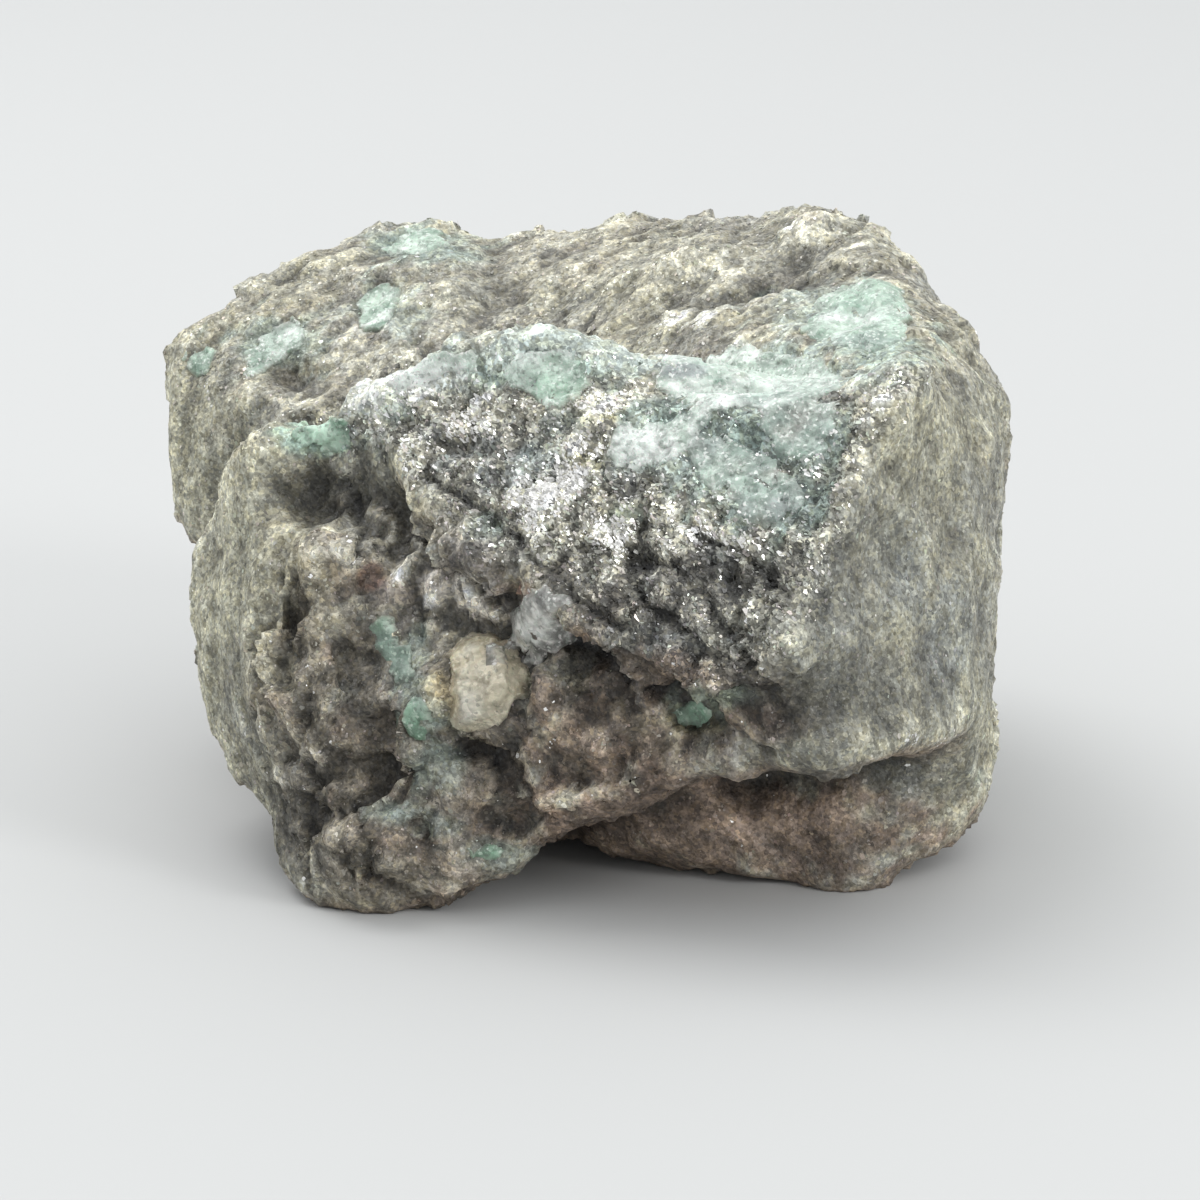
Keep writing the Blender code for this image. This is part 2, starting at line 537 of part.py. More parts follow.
def split(p, out):
    """How far a point moves across the layers to lie on the face of a layer, where they split."""
    wave = LAYER_WAVE * noise.noise(p / LAYER_WAVE_SIZE + LAYER_SEED)
    level = p.dot(ACROSS_LAYERS) / LAYER + wave
    part = level - math.floor(level)
    rise = max(0.0, min(1.0, (part - LAYER_FACE_START) / LAYER_FACE_RISE))
    share = SEEN_SHARE if out.dot(ACROSS_LAYERS) > 0.0 else LAYER_SHARE
    return LAYER * (rise * rise * (3.0 - 2.0 * rise) - part) * share


def roughen(rock):
    """Gives the blocks the broken surface of schist."""
    points, out = coordinates(rock.data), normals(rock.data)
    push = np.array([relief(Vector(p), Vector(n)) for p, n in zip(points, out)])
    shift = np.array([split(Vector(p), Vector(n)) for p, n in zip(points, out)])
    layers = shift[:, None] * np.array(ACROSS_LAYERS)
    move_to(rock.data, points + out * (push + SWELL)[:, None] + layers)
    remesh(rock, 1)


def thin_out(rock):
    """Merges small triangles where the surface is flattest, down to the stated number."""
    count = sum(len(p.vertices) - 2 for p in rock.data.polygons)
    thin = rock.modifiers.new("thin", "DECIMATE")
    thin.ratio = ROCK_TRIANGLES / count
    apply_modifiers(rock)


def cut_flat(rock):
    """Cuts the lowest bosses off level, so that the chunk rests on small flats."""
    bm = bmesh.new()
    bm.from_mesh(rock.data)
    everything = bm.verts[:] + bm.edges[:] + bm.faces[:]
    cut = bmesh.ops.bisect_plane(
        bm, geom=everything, dist=ON_THE_CUT, plane_co=(0, 0, FLOOR), plane_no=(0, 0, 1), clear_inner=True
    )
    rim = [e for e in cut["geom_cut"] if isinstance(e, bmesh.types.BMEdge)]
    bmesh.ops.holes_fill(bm, edges=rim)
    bmesh.ops.triangulate(bm, faces=bm.faces)
    bm.to_mesh(rock.data)
    bm.free()


def rings(tree, outline, height, top_share):
    """The corners of a block round a patch of the surface that is seen in the view."""
    middle = np.mean(outline, axis=0)
    radius = np.linalg.norm(np.array(outline) - middle, axis=1).mean()
    centre, _ = seen_at(tree, *middle)
    points, directions = [], []
    for at in np.array(outline):
        point, normal = seen_at(tree, *at)
        while point is None or (point - centre).length > REACH * radius:
            at = middle + (at - middle) * DRAW_IN
            point, normal = seen_at(tree, *at)
        points.append(point)
        directions.append(normal)
    return rings_of(points, directions, radius, height, top_share)


def rings_of(points, directions, radius, height, top_share):
    """The corners of a block round a patch of the surface: over it, in it and under it."""
    middle = sum(points, Vector()) / len(points)
    out = sum(directions, Vector()).normalized()
    depth = min(GREATEST_DEPTH, DEPTH_SHARE * radius)
    corners = [middle + (p - middle) * top_share + out * height for p in points]
    corners += list(points)
    corners += [middle + (p - middle) * ROOT_SHARE - out * depth for p in points]
    return corners


def far_patch(tree, degrees, radius, turn, stretch):
    """A six-sided outline on the surface on the far side, as points and their normals."""
    middle, out = found_far(tree, degrees)
    side = out.orthogonal().normalized()
    points, directions = [], []
    for k in range(CRYSTAL_SIDES):
        angle = math.radians(turn) + 2 * math.pi * k / CRYSTAL_SIDES
        flat = side * math.cos(angle) * stretch + out.cross(side) * math.sin(angle)
        point, normal, _, _ = tree.find_nearest(middle + flat * radius)
        points.append(point)
        directions.append(normal)
    return points, directions


def block_object(name, corners):
    """A convex block round the given corners."""
    bm = bmesh.new()
    add_hull(bm, corners)
    bmesh.ops.recalc_face_normals(bm, faces=bm.faces)
    return object_of(bm, name)


def joined(blocks):
    """One object made of overlapping blocks."""
    for other in blocks[1:]:
        combine(blocks[0], other, "UNION")
        bpy.data.objects.remove(other, do_unlink=True)
    return blocks[0]


def combine(ob, other, operation):
    """One exact Boolean, applied."""
    boolean = ob.modifiers.new(operation.lower(), "BOOLEAN")
    boolean.operation = operation
    boolean.object = other
    boolean.solver = "EXACT"
    apply_modifiers(ob)


def swollen(ob, distance):
    """A copy whose faces all lie further out by the distance."""
    bm = bmesh.new()
    bm.from_mesh(ob.data)
    bmesh.ops.dissolve_limit(bm, angle_limit=FLAT_ANGLE, verts=bm.verts, edges=bm.edges)
    bmesh.ops.triangulate(bm, faces=bm.faces)
    bm.normal_update()
    moves = [v.normal * distance * v.calc_shell_factor() for v in bm.verts]
    for v, move in zip(bm.verts, moves):
        v.co += move
    return object_of(bm, ob.name + "_socket")


def keep_largest(ob):
    """Drops the crumbs that a cut may leave beside the main body, and merges its tiny edges."""
    bm = bmesh.new()
    bm.from_mesh(ob.data)
    bmesh.ops.remove_doubles(bm, verts=bm.verts, dist=TINY_EDGE)
    bmesh.ops.dissolve_degenerate(bm, edges=bm.edges, dist=TINY_EDGE)
    left, bodies = set(bm.verts), []
    while left:
        body, edge = set(), [left.pop()]
        while edge:
            v = edge.pop()
            body.add(v)
            near = {e.other_vert(v) for e in v.link_edges} & left
            left -= near
            edge.extend(near)
        bodies.append(body)
    bodies.sort(key=len)
    for body in bodies[:-1]:
        bmesh.ops.delete(bm, geom=list(body), context="VERTS")
    bmesh.ops.triangulate(bm, faces=bm.faces)
    bm.to_mesh(ob.data)
    bm.free()


def crystals(rock):
    """Cuts every crystal's body out of the rock, with a gap all round it."""
    tree = surface_tree(rock)
    blocks = {}
    for name, outlines in EMERALDS.items():
        blocks[name] = [block_object(name, rings(tree, o, HEADROOM, 1.0)) for o in outlines]
    for name, (degrees, radius, turn, stretch) in FAR_EMERALDS.items():
        points, directions = far_patch(tree, degrees, radius, turn, stretch)
        blocks[name] = [block_object(name, rings_of(points, directions, radius, HEADROOM, 1.0))]
    stone = rock.copy()
    stone.data = rock.data.copy()
    home().objects.link(stone)
    pieces = []
    for parts in blocks.values():
        for block in parts:
            cut_socket(rock, block)
        pieces.append(joined(parts))
        combine(pieces[-1], stone, "INTERSECT")
    bpy.data.objects.remove(stone, do_unlink=True)
    for name, (outline, height, share) in QUARTZ.items():
        pieces.append(block_object(name, rings(tree, outline, height, share)))
        cut_socket(rock, pieces[-1])
    return pieces


def cut_socket(rock, block):
    """Takes a block and the gap round it out of the rock."""
    socket = swollen(block, GAP)
    combine(rock, socket, "DIFFERENCE")
    bpy.data.objects.remove(socket, do_unlink=True)


def finish_of(name):
    """The plain finish of a piece, found by the start of its name."""
    for start, (colour, roughness) in FINISHES.items():
        if name.startswith(start):
            return principled(start, colour, roughness)
    raise KeyError(name)


def principled(name, colour, roughness):
    material = bpy.data.materials.get(name) or bpy.data.materials.new(name)
    material.use_nodes = True
    shader = material.node_tree.nodes["Principled BSDF"]
    shader.inputs["Base Color"].default_value = (*colour, 1.0)
    shader.inputs["Roughness"].default_value = roughness
    shader.inputs["Metallic"].default_value = 0.0
    return material


def stand_shift(pieces):
    """What puts the middle of the whole over the origin and its flats on the floor."""
    points = np.concatenate([coordinates(ob.data) for ob in pieces])
    middle = (points.min(axis=0) + points.max(axis=0)) / 2
    return Vector((-middle[0], -middle[1], -FLOOR))


def main():
    clear_scene()
    rock = grow_blocks()
    press(rock)
    roughen(rock)
    thin_out(rock)
    cut_flat(rock)
    pieces = [rock] + crystals(rock)
    for ob in pieces:
        keep_largest(ob)
    shift = stand_shift(pieces)
    print("shift to the stand, in millimetres:", tuple(round(v, 4) for v in shift))
    for ob in pieces:
        ob.data.transform(Matrix.Scale(MM, 4) @ Matrix.Translation(shift))
        ob.data.materials.clear()
        ob.data.materials.append(finish_of(ob.name))


main()
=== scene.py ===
# %% [markdown]
# # Emerald in matrix
# A chunk of grey mica schist, small enough for fingertips, with green beryl and a little quartz
# grown in it. Its solid model is loaded first and never moved: every piece made below lies on it
# or stands for one of its solids. Sizes are in metres, and +Z is up.

# %% Load the solid model
import json
import math

import bpy
import numpy as np
from mathutils import Matrix, Vector


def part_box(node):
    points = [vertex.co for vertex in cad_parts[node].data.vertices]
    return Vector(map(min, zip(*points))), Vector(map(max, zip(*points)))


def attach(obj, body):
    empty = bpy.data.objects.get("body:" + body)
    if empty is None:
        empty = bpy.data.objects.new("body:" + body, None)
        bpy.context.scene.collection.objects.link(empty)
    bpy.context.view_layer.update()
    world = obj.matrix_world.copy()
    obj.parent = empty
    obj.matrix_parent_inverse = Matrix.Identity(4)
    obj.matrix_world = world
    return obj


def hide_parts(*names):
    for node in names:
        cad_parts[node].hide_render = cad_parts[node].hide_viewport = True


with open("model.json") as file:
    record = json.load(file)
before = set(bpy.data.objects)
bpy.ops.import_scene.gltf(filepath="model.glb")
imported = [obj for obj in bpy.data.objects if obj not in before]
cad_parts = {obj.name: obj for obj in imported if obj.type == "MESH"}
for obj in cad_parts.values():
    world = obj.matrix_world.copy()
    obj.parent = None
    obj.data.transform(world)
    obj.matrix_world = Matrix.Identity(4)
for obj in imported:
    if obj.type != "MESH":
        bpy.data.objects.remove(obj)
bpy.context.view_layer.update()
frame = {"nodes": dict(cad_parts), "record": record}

MM = 0.001
CRYSTALS = sorted(name for name in frame["nodes"] if name != "schist_matrix")
print("solids:", len(frame["nodes"]), "crystals:", len(CRYSTALS))

# %% [markdown]
# The chunk was measured in one view, so places on it are written (right, up) in millimetres from
# the middle of that view. A point of the chunk is turned into (right, up, away) by undoing the
# slope of the view and the way that it widens with distance. So a patch of colour or a dent can be
# put where the eye sees it, without a marker object for each.

# %% The view and the layers of the schist
VIEW_ELEVATION = math.radians(18)
VIEW_DISTANCE = 220.0
VIEW_MIDDLE_RIGHT, VIEW_MIDDLE_UP = 0.55, -2.2
STAND_SHIFT = np.array([0.7939, -6.768, 16.1])
TO_VIEW = np.array([0.0, -math.cos(VIEW_ELEVATION), math.sin(VIEW_ELEVATION)])
ACROSS_LAYERS = np.array([0.42, -0.80, 0.43]) / np.linalg.norm([0.42, -0.80, 0.43])
GRAIN_RUN = np.array([0.79, 0.09, -0.61])


def in_view(points):
    """Points in metres as (right, up, away) in millimetres: the stand's shift is taken off, the
    slope is turned back, and right and up shrink by distance / (distance + away)."""
    x, y, z = (points / MM - STAND_SHIFT).T
    s, c = math.sin(VIEW_ELEVATION), math.cos(VIEW_ELEVATION)
    away, rise = y * c - z * s, y * s + z * c
    spread = (VIEW_DISTANCE + away) / VIEW_DISTANCE
    return np.stack([(x - VIEW_MIDDLE_RIGHT) / spread, (rise - VIEW_MIDDLE_UP) / spread, away], 1)


print("across the layers:", ACROSS_LAYERS.round(3))

# %% [markdown]
# Broken stone has no pattern, only sizes: lumps of some millimetres, faces of one, grains of a
# tenth. A Displace modifier could move the points by a texture, but then the colours wouldn't know
# where the lumps are. So each size comes from noise worked out here for all points at once, for
# shape and colour alike. A lattice of cubes gets a random slope at every corner, and a point
# blends the heights of the eight slopes around it. The last number of every call is its seed.

# %% Noise on whole arrays
NOISE_SWING = 1.6


def random_at(cells, seed):
    """One even random number from 0 to 1 for every whole-number cell: the three numbers and the
    seed are multiplied by large primes, and the bits of their sum are mixed twice."""
    x, y, z = cells.astype(np.int64).T
    bits = (x * 374761393 + y * 668265263 + z * 1440662683 + seed * 974634777) & 0xFFFFFFFF
    bits = ((bits ^ (bits >> 13)) * 1274126177) & 0xFFFFFFFF
    bits = ((bits ^ (bits >> 15)) * 2246822519) & 0xFFFFFFFF
    return (bits ^ (bits >> 16)) / 2.0**32


def three_random(cells, seed):
    """Three even random numbers from 0 to 1 for every cell, from three seeds in a row."""
    return np.stack([random_at(cells, seed + i) for i in range(3)], 1)


def noise(points, size, seed):
    """Smooth noise from about -1 to 1: at the eight corners of the point's cube, the dot product
    of a random slope and the way to the point, blended with the curve 6t^5 - 15t^4 + 10t^3."""
    at = points / size
    base = np.floor(at)
    part = at - base
    blend = part**3 * (part * (part * 6 - 15) + 10)
    total = np.zeros(len(points))
    for k in range(8):
        corner = np.array([k & 1, k >> 1 & 1, k >> 2 & 1])
        slope = three_random(base + corner, seed) * 2 - 1
        weight = np.where(corner, blend, 1 - blend).prod(1)
        total += weight * ((part - corner) * slope).sum(1)
    return total * NOISE_SWING


def nearest_seed(points, size, seed):
    """The jittered lattice point that lies nearest to each point, as its place and its cell: each
    cube of the given size holds one at random, and the 27 cubes round a point are compared."""
    at = points / size
    base = np.floor(at)
    best, place, cell = np.full(len(at), np.inf), np.zeros_like(at), np.zeros_like(at)
    for k in range(27):
        near = base + [k % 3 - 1, k // 3 % 3 - 1, k // 9 - 1]
        spot = near + three_random(near, seed)
        far = ((spot - at) ** 2).sum(1)
        closer = far < best
        best[closer], place[closer], cell[closer] = far[closer], spot[closer], near[closer]
    return place * size, cell


def tilted_planes(points, size, seed):
    """Heights of facets and their cells: each point takes the plane through its nearest seed, the
    dot product of a random slope from -1 to 1 and the way from the seed to the point."""
    place, cell = nearest_seed(points, size, seed)
    slope = three_random(cell, seed + 5) * 2 - 1
    return ((points - place) * slope).sum(1), cell


def smooth(low, high, values):
    """0 below low, 1 above high, and the curve 3t^2 - 2t^3 between."""
    t = np.clip((values - low) / (high - low), 0, 1)
    return t * t * (3 - 2 * t)


def unit(vectors):
    """Each row divided by its length."""
    return vectors / np.maximum(np.linalg.norm(vectors, axis=1, keepdims=True), 1e-12)


heights = noise(np.linspace(0, 1, 500)[:, None] * [[1.0, 0.7, 0.3]], 0.1, 1)
print("noise along a line, lowest and highest:", heights.min().round(2), heights.max().round(2))

# %% [markdown]
# The stone and its crystals have grown together, so what the eye sees is one closed skin, while
# the solids keep a hair's gap between crystal and socket. A Boolean union would keep the gap too.
# So all of them are swollen a little until it closes, wrapped in one skin of small squares by a
# Remesh modifier, and shrunk back by the same amount.

# %% One skin over stone and crystals
SWELL = 0.20 * MM
SKIN_SQUARE = 0.323 * MM
SAME_PLACE = 0.001 * MM


def mesh_arrays(mesh):
    """Corners and triangles of one mesh."""
    corners = np.empty(len(mesh.vertices) * 3, np.float32)
    mesh.vertices.foreach_get("co", corners)
    mesh.calc_loop_triangles()
    triangles = np.empty(len(mesh.loop_triangles) * 3, np.int32)
    mesh.loop_triangles.foreach_get("vertices", triangles)
    return corners.reshape(-1, 3), triangles.reshape(-1, 3)


def welded(names):
    """Corners and triangles of several solids: corners that share a place become one."""
    parts = [mesh_arrays(frame["nodes"][name].data) for name in names]
    counts = np.cumsum([0] + [len(corners) for corners, _ in parts])
    corners = np.concatenate([corners for corners, _ in parts])
    triangles = np.concatenate([three + count for (_, three), count in zip(parts, counts)])
    rounded = np.round(corners / SAME_PLACE).astype(np.int64)
    _, first, same = np.unique(rounded, axis=0, return_index=True, return_inverse=True)
    return corners[first], same.reshape(-1)[triangles]


def mesh_object(name, corners, faces, flat=False):
    """A new object at the origin from arrays of corners and of faces with equally many sides."""
    mesh = bpy.data.meshes.new(name)
    sides = faces.shape[1]
    mesh.vertices.add(len(corners))
    mesh.vertices.foreach_set("co", corners.astype(np.float32).ravel())
    mesh.loops.add(faces.size)
    mesh.loops.foreach_set("vertex_index", faces.astype(np.int32).ravel())
    mesh.polygons.add(len(faces))
    mesh.polygons.foreach_set("loop_start", np.arange(0, faces.size, sides, dtype=np.int32))
    mesh.polygons.foreach_set("use_smooth", np.full(len(faces), not flat))
    mesh.update(calc_edges=True)
    ob = bpy.data.objects.new(name, mesh)
    bpy.context.scene.collection.objects.link(ob)
    return ob


def corner_normals(corners, triangles):
    """The sum of the cross products of the triangles round each corner, made one long."""
    a, b, c = (corners[triangles[:, i]] for i in range(3))
    cross = np.cross(b - a, c - a)
    total = np.zeros_like(corners)
    for axis in range(3):
        for k in range(3):
            total[:, axis] += np.bincount(triangles[:, k], cross[:, axis], len(corners))
    return unit(total)


def wrapped(corners, triangles):
    """The closed skin round the swollen solids, shrunk back, as corners and triangles."""
    ob = mesh_object("wrap", corners, triangles)
    for kind, strength in (("out", SWELL), ("skin", 0), ("back", -SWELL)):
        step = ob.modifiers.new(kind, "DISPLACE" if strength else "REMESH")
        if strength:
            step.strength, step.mid_level = strength, 0.0
        else:
            step.mode, step.voxel_size = "VOXEL", SKIN_SQUARE
    made = ob.evaluated_get(bpy.context.evaluated_depsgraph_get()).to_mesh()
    skin, three = mesh_arrays(made)
    ob.to_mesh_clear()
    bpy.data.objects.remove(ob)
    return skin.astype(float), three


plain_corners, skin_triangles = wrapped(*welded(["schist_matrix"] + CRYSTALS))
print("skin:", len(plain_corners), "corners,", len(skin_triangles), "triangles")

# %% [markdown]
# Schist breaks along its layers of mica, and across them in small steps. How rough it is changes
# from place to place: the front slope glitters, the low front is all lumps and pits, the sides are
# worn. Weights painted by hand could say so too, but nobody could read them in a script. So places
# are told apart by outlines drawn in the view, and by the way the skin faces.

# %% Outlines of the rough places
# The crest from left to right, (right, up) in millimetres. The outline of the front slope goes on
# from it round by the right edge and the ledge, and that of the glittering upper part shares it.
CREST = (
    (-11.0, 11.6), (-5.5, 14.6), (-2.2, 14.6), (2.2, 12.6), (6.3, 10.6), (9.0, 11.4), (13.2, 12.0),
)
SLOPE_OUTLINE = np.array([
    (-17.5, 9.6), *CREST, (17.6, 13.0), (16.2, 10.4), (14.6, 8.0), (13.4, 4.0), (12.0, 0.0),
    (10.4, -3.0), (7.7, -5.2), (4.4, -4.6), (0.4, -1.6), (-2.2, 0.4), (-6.6, 2.8), (-11.0, 7.0),
    (-13.0, 7.2),
])
GLITTER_OUTLINE = np.array([
    (-15.5, 9.0), *CREST, (17.0, 12.6), (14.6, 9.8), (12.6, 7.0), (11.4, 3.4), (8.6, 0.4),
    (5.8, -0.3), (0.3, -0.3), (-1.8, 0.4), (-3.8, 2.5), (-8.7, 6.6),
])
# The outline of the lumpy front under the slope and the ledge, in the same way.
FRONT_OUTLINE = np.array([
    (-16.5, 3.3), (-12.9, 4.4), (-8.8, 5.5), (-6.6, 2.2), (-2.2, 0.0), (0.0, -2.2), (5.5, -2.8),
    (9.4, -3.3), (11.0, -6.6), (5.5, -8.8), (0.0, -11.0), (-3.9, -13.5), (-6.6, -16.0),
    (-14.9, -15.4), (-17.6, -9.9), (-19.0, -4.4), (-18.2, 0.0),
])


def straight_distance(places, start, end):
    """The distance in millimetres from each (right, up) to the straight piece between two ends:
    the foot lies at the share ((p - start) . run) / (run . run) of the run, kept from 0 to 1."""
    run = end - start
    t = np.clip(((places - start) @ run) / (run @ run), 0, 1)
    return np.linalg.norm(places - start - t[:, None] * run, axis=1)


def outline_depth(places, outline):
    """How deep each (right, up) lies inside a closed outline in millimetres, negative outside:
    the distance to the nearest side, with its sign from the number of sides to the right."""
    nearest = np.full(len(places), np.inf)
    crossed = np.zeros(len(places), int)
    for start, end in zip(outline, np.roll(outline, -1, axis=0)):
        nearest = np.minimum(nearest, straight_distance(places, start, end))
        spans = (start[1] > places[:, 1]) != (end[1] > places[:, 1])
        run = end - start
        rise = run[1] if run[1] else 1.0
        crossed += spans & (places[:, 0] < start[0] + (places[:, 1] - start[1]) * run[0] / rise)
    return np.where(crossed % 2 == 1, nearest, -nearest)


def line_distance(places, line):
    """The distance in millimetres from each (right, up) to an open line of straight pieces."""
    pairs = zip(line[:-1], line[1:])
    return np.min([straight_distance(places, start, end) for start, end in pairs], axis=0)


places = in_view(plain_corners)
in_slope = outline_depth(places[:, :2], SLOPE_OUTLINE) > 0
print("points inside the slope's outline:", int(in_slope.sum()))

# %% [markdown]
# A face of the stone is rough where it broke and calm where it was rubbed. Which way a place faces
# is read from a copy of the skin that is smoothed until its small bumps are gone. The edges of the
# places wander by noise, so that no outline can be seen.

# %% Where the stone is broken and where it is worn
CALM_ROUNDS = 24
SLOPE_EDGE, FRONT_EDGE, GLITTER_EDGE = 1.4, 2.0, 1.8
HIDDEN_SLOPE, HIDDEN_LUMPS, HIDDEN_GLITTER = 0.7, 0.38, 0.7
TOP_LUMPS = 0.30


def neighbour_means(corners, triangles, rounds):
    """Corners moved to the mean of their neighbours, the given number of times."""
    a = triangles.ravel()
    b = np.roll(triangles, -1, axis=1).ravel()
    count = np.bincount(a, minlength=len(corners))[:, None]
    for _ in range(rounds):
        sums = [np.bincount(a, corners[b, i], len(corners)) for i in range(3)]
        corners = np.stack(sums, 1) / count
    return corners


plain_normals = corner_normals(plain_corners, skin_triangles)
calm_corners = neighbour_means(plain_corners, skin_triangles, CALM_ROUNDS)
calm_normals = corner_normals(calm_corners, skin_triangles)
facing_view = calm_normals @ TO_VIEW
seen = smooth(0.08, 0.25, facing_view)
toward_layers = calm_normals @ ACROSS_LAYERS
wander = 1.2 * noise(plain_corners, 2.5 * MM, 21) + 0.6 * noise(plain_corners, 0.9 * MM, 23)


def outline_share(outline, edge):
    """1 inside an outline of the view, 0 outside, and a soft, wandering edge between."""
    return smooth(-edge, edge, outline_depth(places[:, :2], outline) + wander)


def slope_share():
    """1 on the front slope, which broke along the layers, and on the hidden faces that lie along
    them, 0 on faces that cut across them."""
    front = outline_share(SLOPE_OUTLINE, SLOPE_EDGE) * smooth(0.30, 0.60, toward_layers)
    along = smooth(0.75, 0.95, np.abs(toward_layers))
    hidden = HIDDEN_SLOPE * along * smooth(-0.3, 0.3, wander)
    return front * seen + hidden * (1 - seen)


def lump_share():
    """1 on the low front, less on the hidden sides, 0 on the worn faces."""
    front = outline_share(FRONT_OUTLINE, FRONT_EDGE)
    top = TOP_LUMPS * smooth(0.35, 0.75, calm_normals[:, 2])
    return np.maximum(front * seen, top) + HIDDEN_LUMPS * (1 - seen) * (1 - top)


broken, lumpy = slope_share(), lump_share()
glittery = np.where(seen > 0.5, outline_share(GLITTER_OUTLINE, GLITTER_EDGE), HIDDEN_GLITTER)
print("broken, lumpy:", broken.mean().round(3), lumpy.mean().round(3))

# %% [markdown]
# Some dents, lumps, smooth faces and cracks catch the eye and have places of their own, which are
# listed here. Each place is a soft ball round the surface that is seen there, and noise that is
# drawn out along the layers frays its edge.

# %% Places of dents, lumps, smooth faces and cracks
# Each dent: right, up, width, height and depth, all in millimetres. A lump has a depth below zero.
DENTS = (
    (-17.0, 7.2, 0.9, 0.9, -0.4),
    (-14.0, 5.8, 1.0, 0.7, -0.4),
    (-16.8, -1.9, 0.8, 2.8, 0.7),
    (-13.2, -3.4, 0.7, 1.1, -0.5),
    (-15.7, -6.7, 0.6, 1.8, 0.6),
    (-13.6, -10.4, 1.0, 0.9, -0.5),
    (-11.8, -9.8, 0.5, 1.3, 0.3),
    (-6.2, -8.6, 0.8, 0.9, -0.5),
    (-4.4, -9.4, 1.2, 0.5, 0.3),
    (-5.2, -12.4, 1.9, 1.0, 0.3),
    (9.2, -5.7, 2.6, 1.6, 0.5),
    (3.4, -5.0, 2.4, 0.5, 0.5),
    (7.4, 1.2, 1.4, 1.0, 0.5),
    (2.3, 3.2, 0.8, 1.4, 0.6),
    (-0.5, 1.3, 0.5, 1.0, 0.5),
    (8.2, 8.4, 0.9, 0.8, 0.5),
    (-9.8, 0.8, 0.4, 1.6, 0.5),
    (-7.4, 8.4, 0.9, 0.5, 0.4),
    (-5.6, 3.4, 0.9, 0.4, 0.4),
    (-10.6, 9.8, 1.2, 0.5, 0.4),
    (-8.0, -4.6, 0.4, 1.4, 0.5),
    (-14.6, 3.0, 1.6, 0.7, -0.45),
    (-11.7, 4.3, 0.9, 1.0, -0.40),
    (-8.0, 1.3, 2.4, 1.9, -0.90),
    (-5.6, -0.2, 1.2, 1.0, -0.60),
    (-10.2, 3.0, 1.6, 1.0, -0.50),
    (-14.8, -4.4, 0.7, 2.6, -0.40),
    (-2.0, -5.3, 1.8, 1.1, -0.40),
    (-8.8, -11.0, 1.4, 1.4, -0.40),
    (-13.0, -13.4, 2.4, 1.2, -0.35),
    (-6.0, -15.0, 2.0, 1.0, -0.30),
    (-10.4, -8.4, 0.8, 0.8, -0.30),
    (0.8, -7.6, 1.8, 1.0, -0.35),
    (5.6, -7.2, 1.6, 0.9, -0.30),
)
# How much noise frays a dent's edge, and how much softer it is than a stain's.
DENT_FRAY, DENT_SOFT = 1.1, 0.28
# Faces that broke smooth, with little relief: right, up, width and height.
SMOOTH_FACES = ((-8.6, 1.7, 2.6, 2.2), (-14.6, -1.6, 1.4, 1.8), (15.6, 0.0, 4.0, 5.0))
# Cracks between the layers, each a line of (right, up) places; the first runs under the ledge.
CRACKS = tuple(np.array(line) for line in (
    ((-9.4, 6.5), (-7.2, 5.4), (-5.6, 4.3), (-3.9, 2.7), (-2.1, 1.1), (-0.6, -0.4), (1.2, -1.6)),
    ((1.6, 0.9), (2.8, -0.3), (4.4, -1.2), (5.6, -2.6), (7.2, -3.6)),
    ((5.4, 0.6), (6.8, -1.2), (8.0, -2.8), (9.6, -5.0)),
    ((-1.6, -2.4), (0.2, -3.2), (2.4, -4.6), (4.6, -5.2)),
    ((-13.5, 5.6), (-12.8, 4.2), (-13.2, 2.6)),
    ((-17.4, 0.2), (-17.2, -1.8), (-17.6, -3.6)),
    ((-10.2, 1.2), (-9.6, -0.6), (-9.9, -2.4)),
    ((4.2, 4.6), (6.0, 3.4), (8.6, 2.2), (10.4, 0.4)),
    ((1.0, 3.4), (2.4, 2.2), (4.4, 1.6)),
))
CRACK_WIDE, CRACK_DEEP, CRACK_WANDER = 0.26, 0.40 * MM, 0.35
TO_LIP = (0.25, 0.45)
# A place lies on the nearest surface within this many millimetres of it in the view, and reaches
# into the depth by this many times its width and height.
NEAR_MM, SIGHT_DEPTH = 0.8, 1.2

ALONG = unit(GRAIN_RUN[None] - ACROSS_LAYERS * (GRAIN_RUN @ ACROSS_LAYERS))[0]
LAYER_AXES = np.stack([ALONG, np.cross(ACROSS_LAYERS, ALONG), ACROSS_LAYERS])


def in_layers(points, squeeze=1.0):
    """Points turned so that the first number counts along the grain's run and the third across
    the layers, times the squeeze."""
    return points @ LAYER_AXES.T * np.array([1.0, 1.0, squeeze])


in_sight = facing_view > 0.1
frayed = 0.6 * noise(in_layers(plain_corners, 3.2), 2.6 * MM, 51)
frayed += 0.4 * noise(in_layers(plain_corners, 2.4), 1.1 * MM, 53)


def share_at(right, up, wide, high, fray=0.8, soft=0.0):
    """How strongly each corner of the skin belongs to a place of the view: exp(-d^2) with d
    measured in the place's own width and height, and in depth from the surface that is seen
    there, with an edge frayed by noise."""
    close = in_sight & (np.abs(places[:, :2] - [right, up]).max(1) < NEAR_MM)
    away = places[close, 2].min()
    deep = SIGHT_DEPTH * (wide + high)
    d = ((places - [right, up, away]) ** 2 / np.array([wide, high, deep]) ** 2).sum(1)
    return smooth(0.12 - soft, 0.72 + soft, np.exp(-d) + fray * frayed * (d < 3))


def strongest(patches):
    """The largest share that any of the patches has at each corner of the skin."""
    return np.max([share_at(*patch) for patch in patches], axis=0)


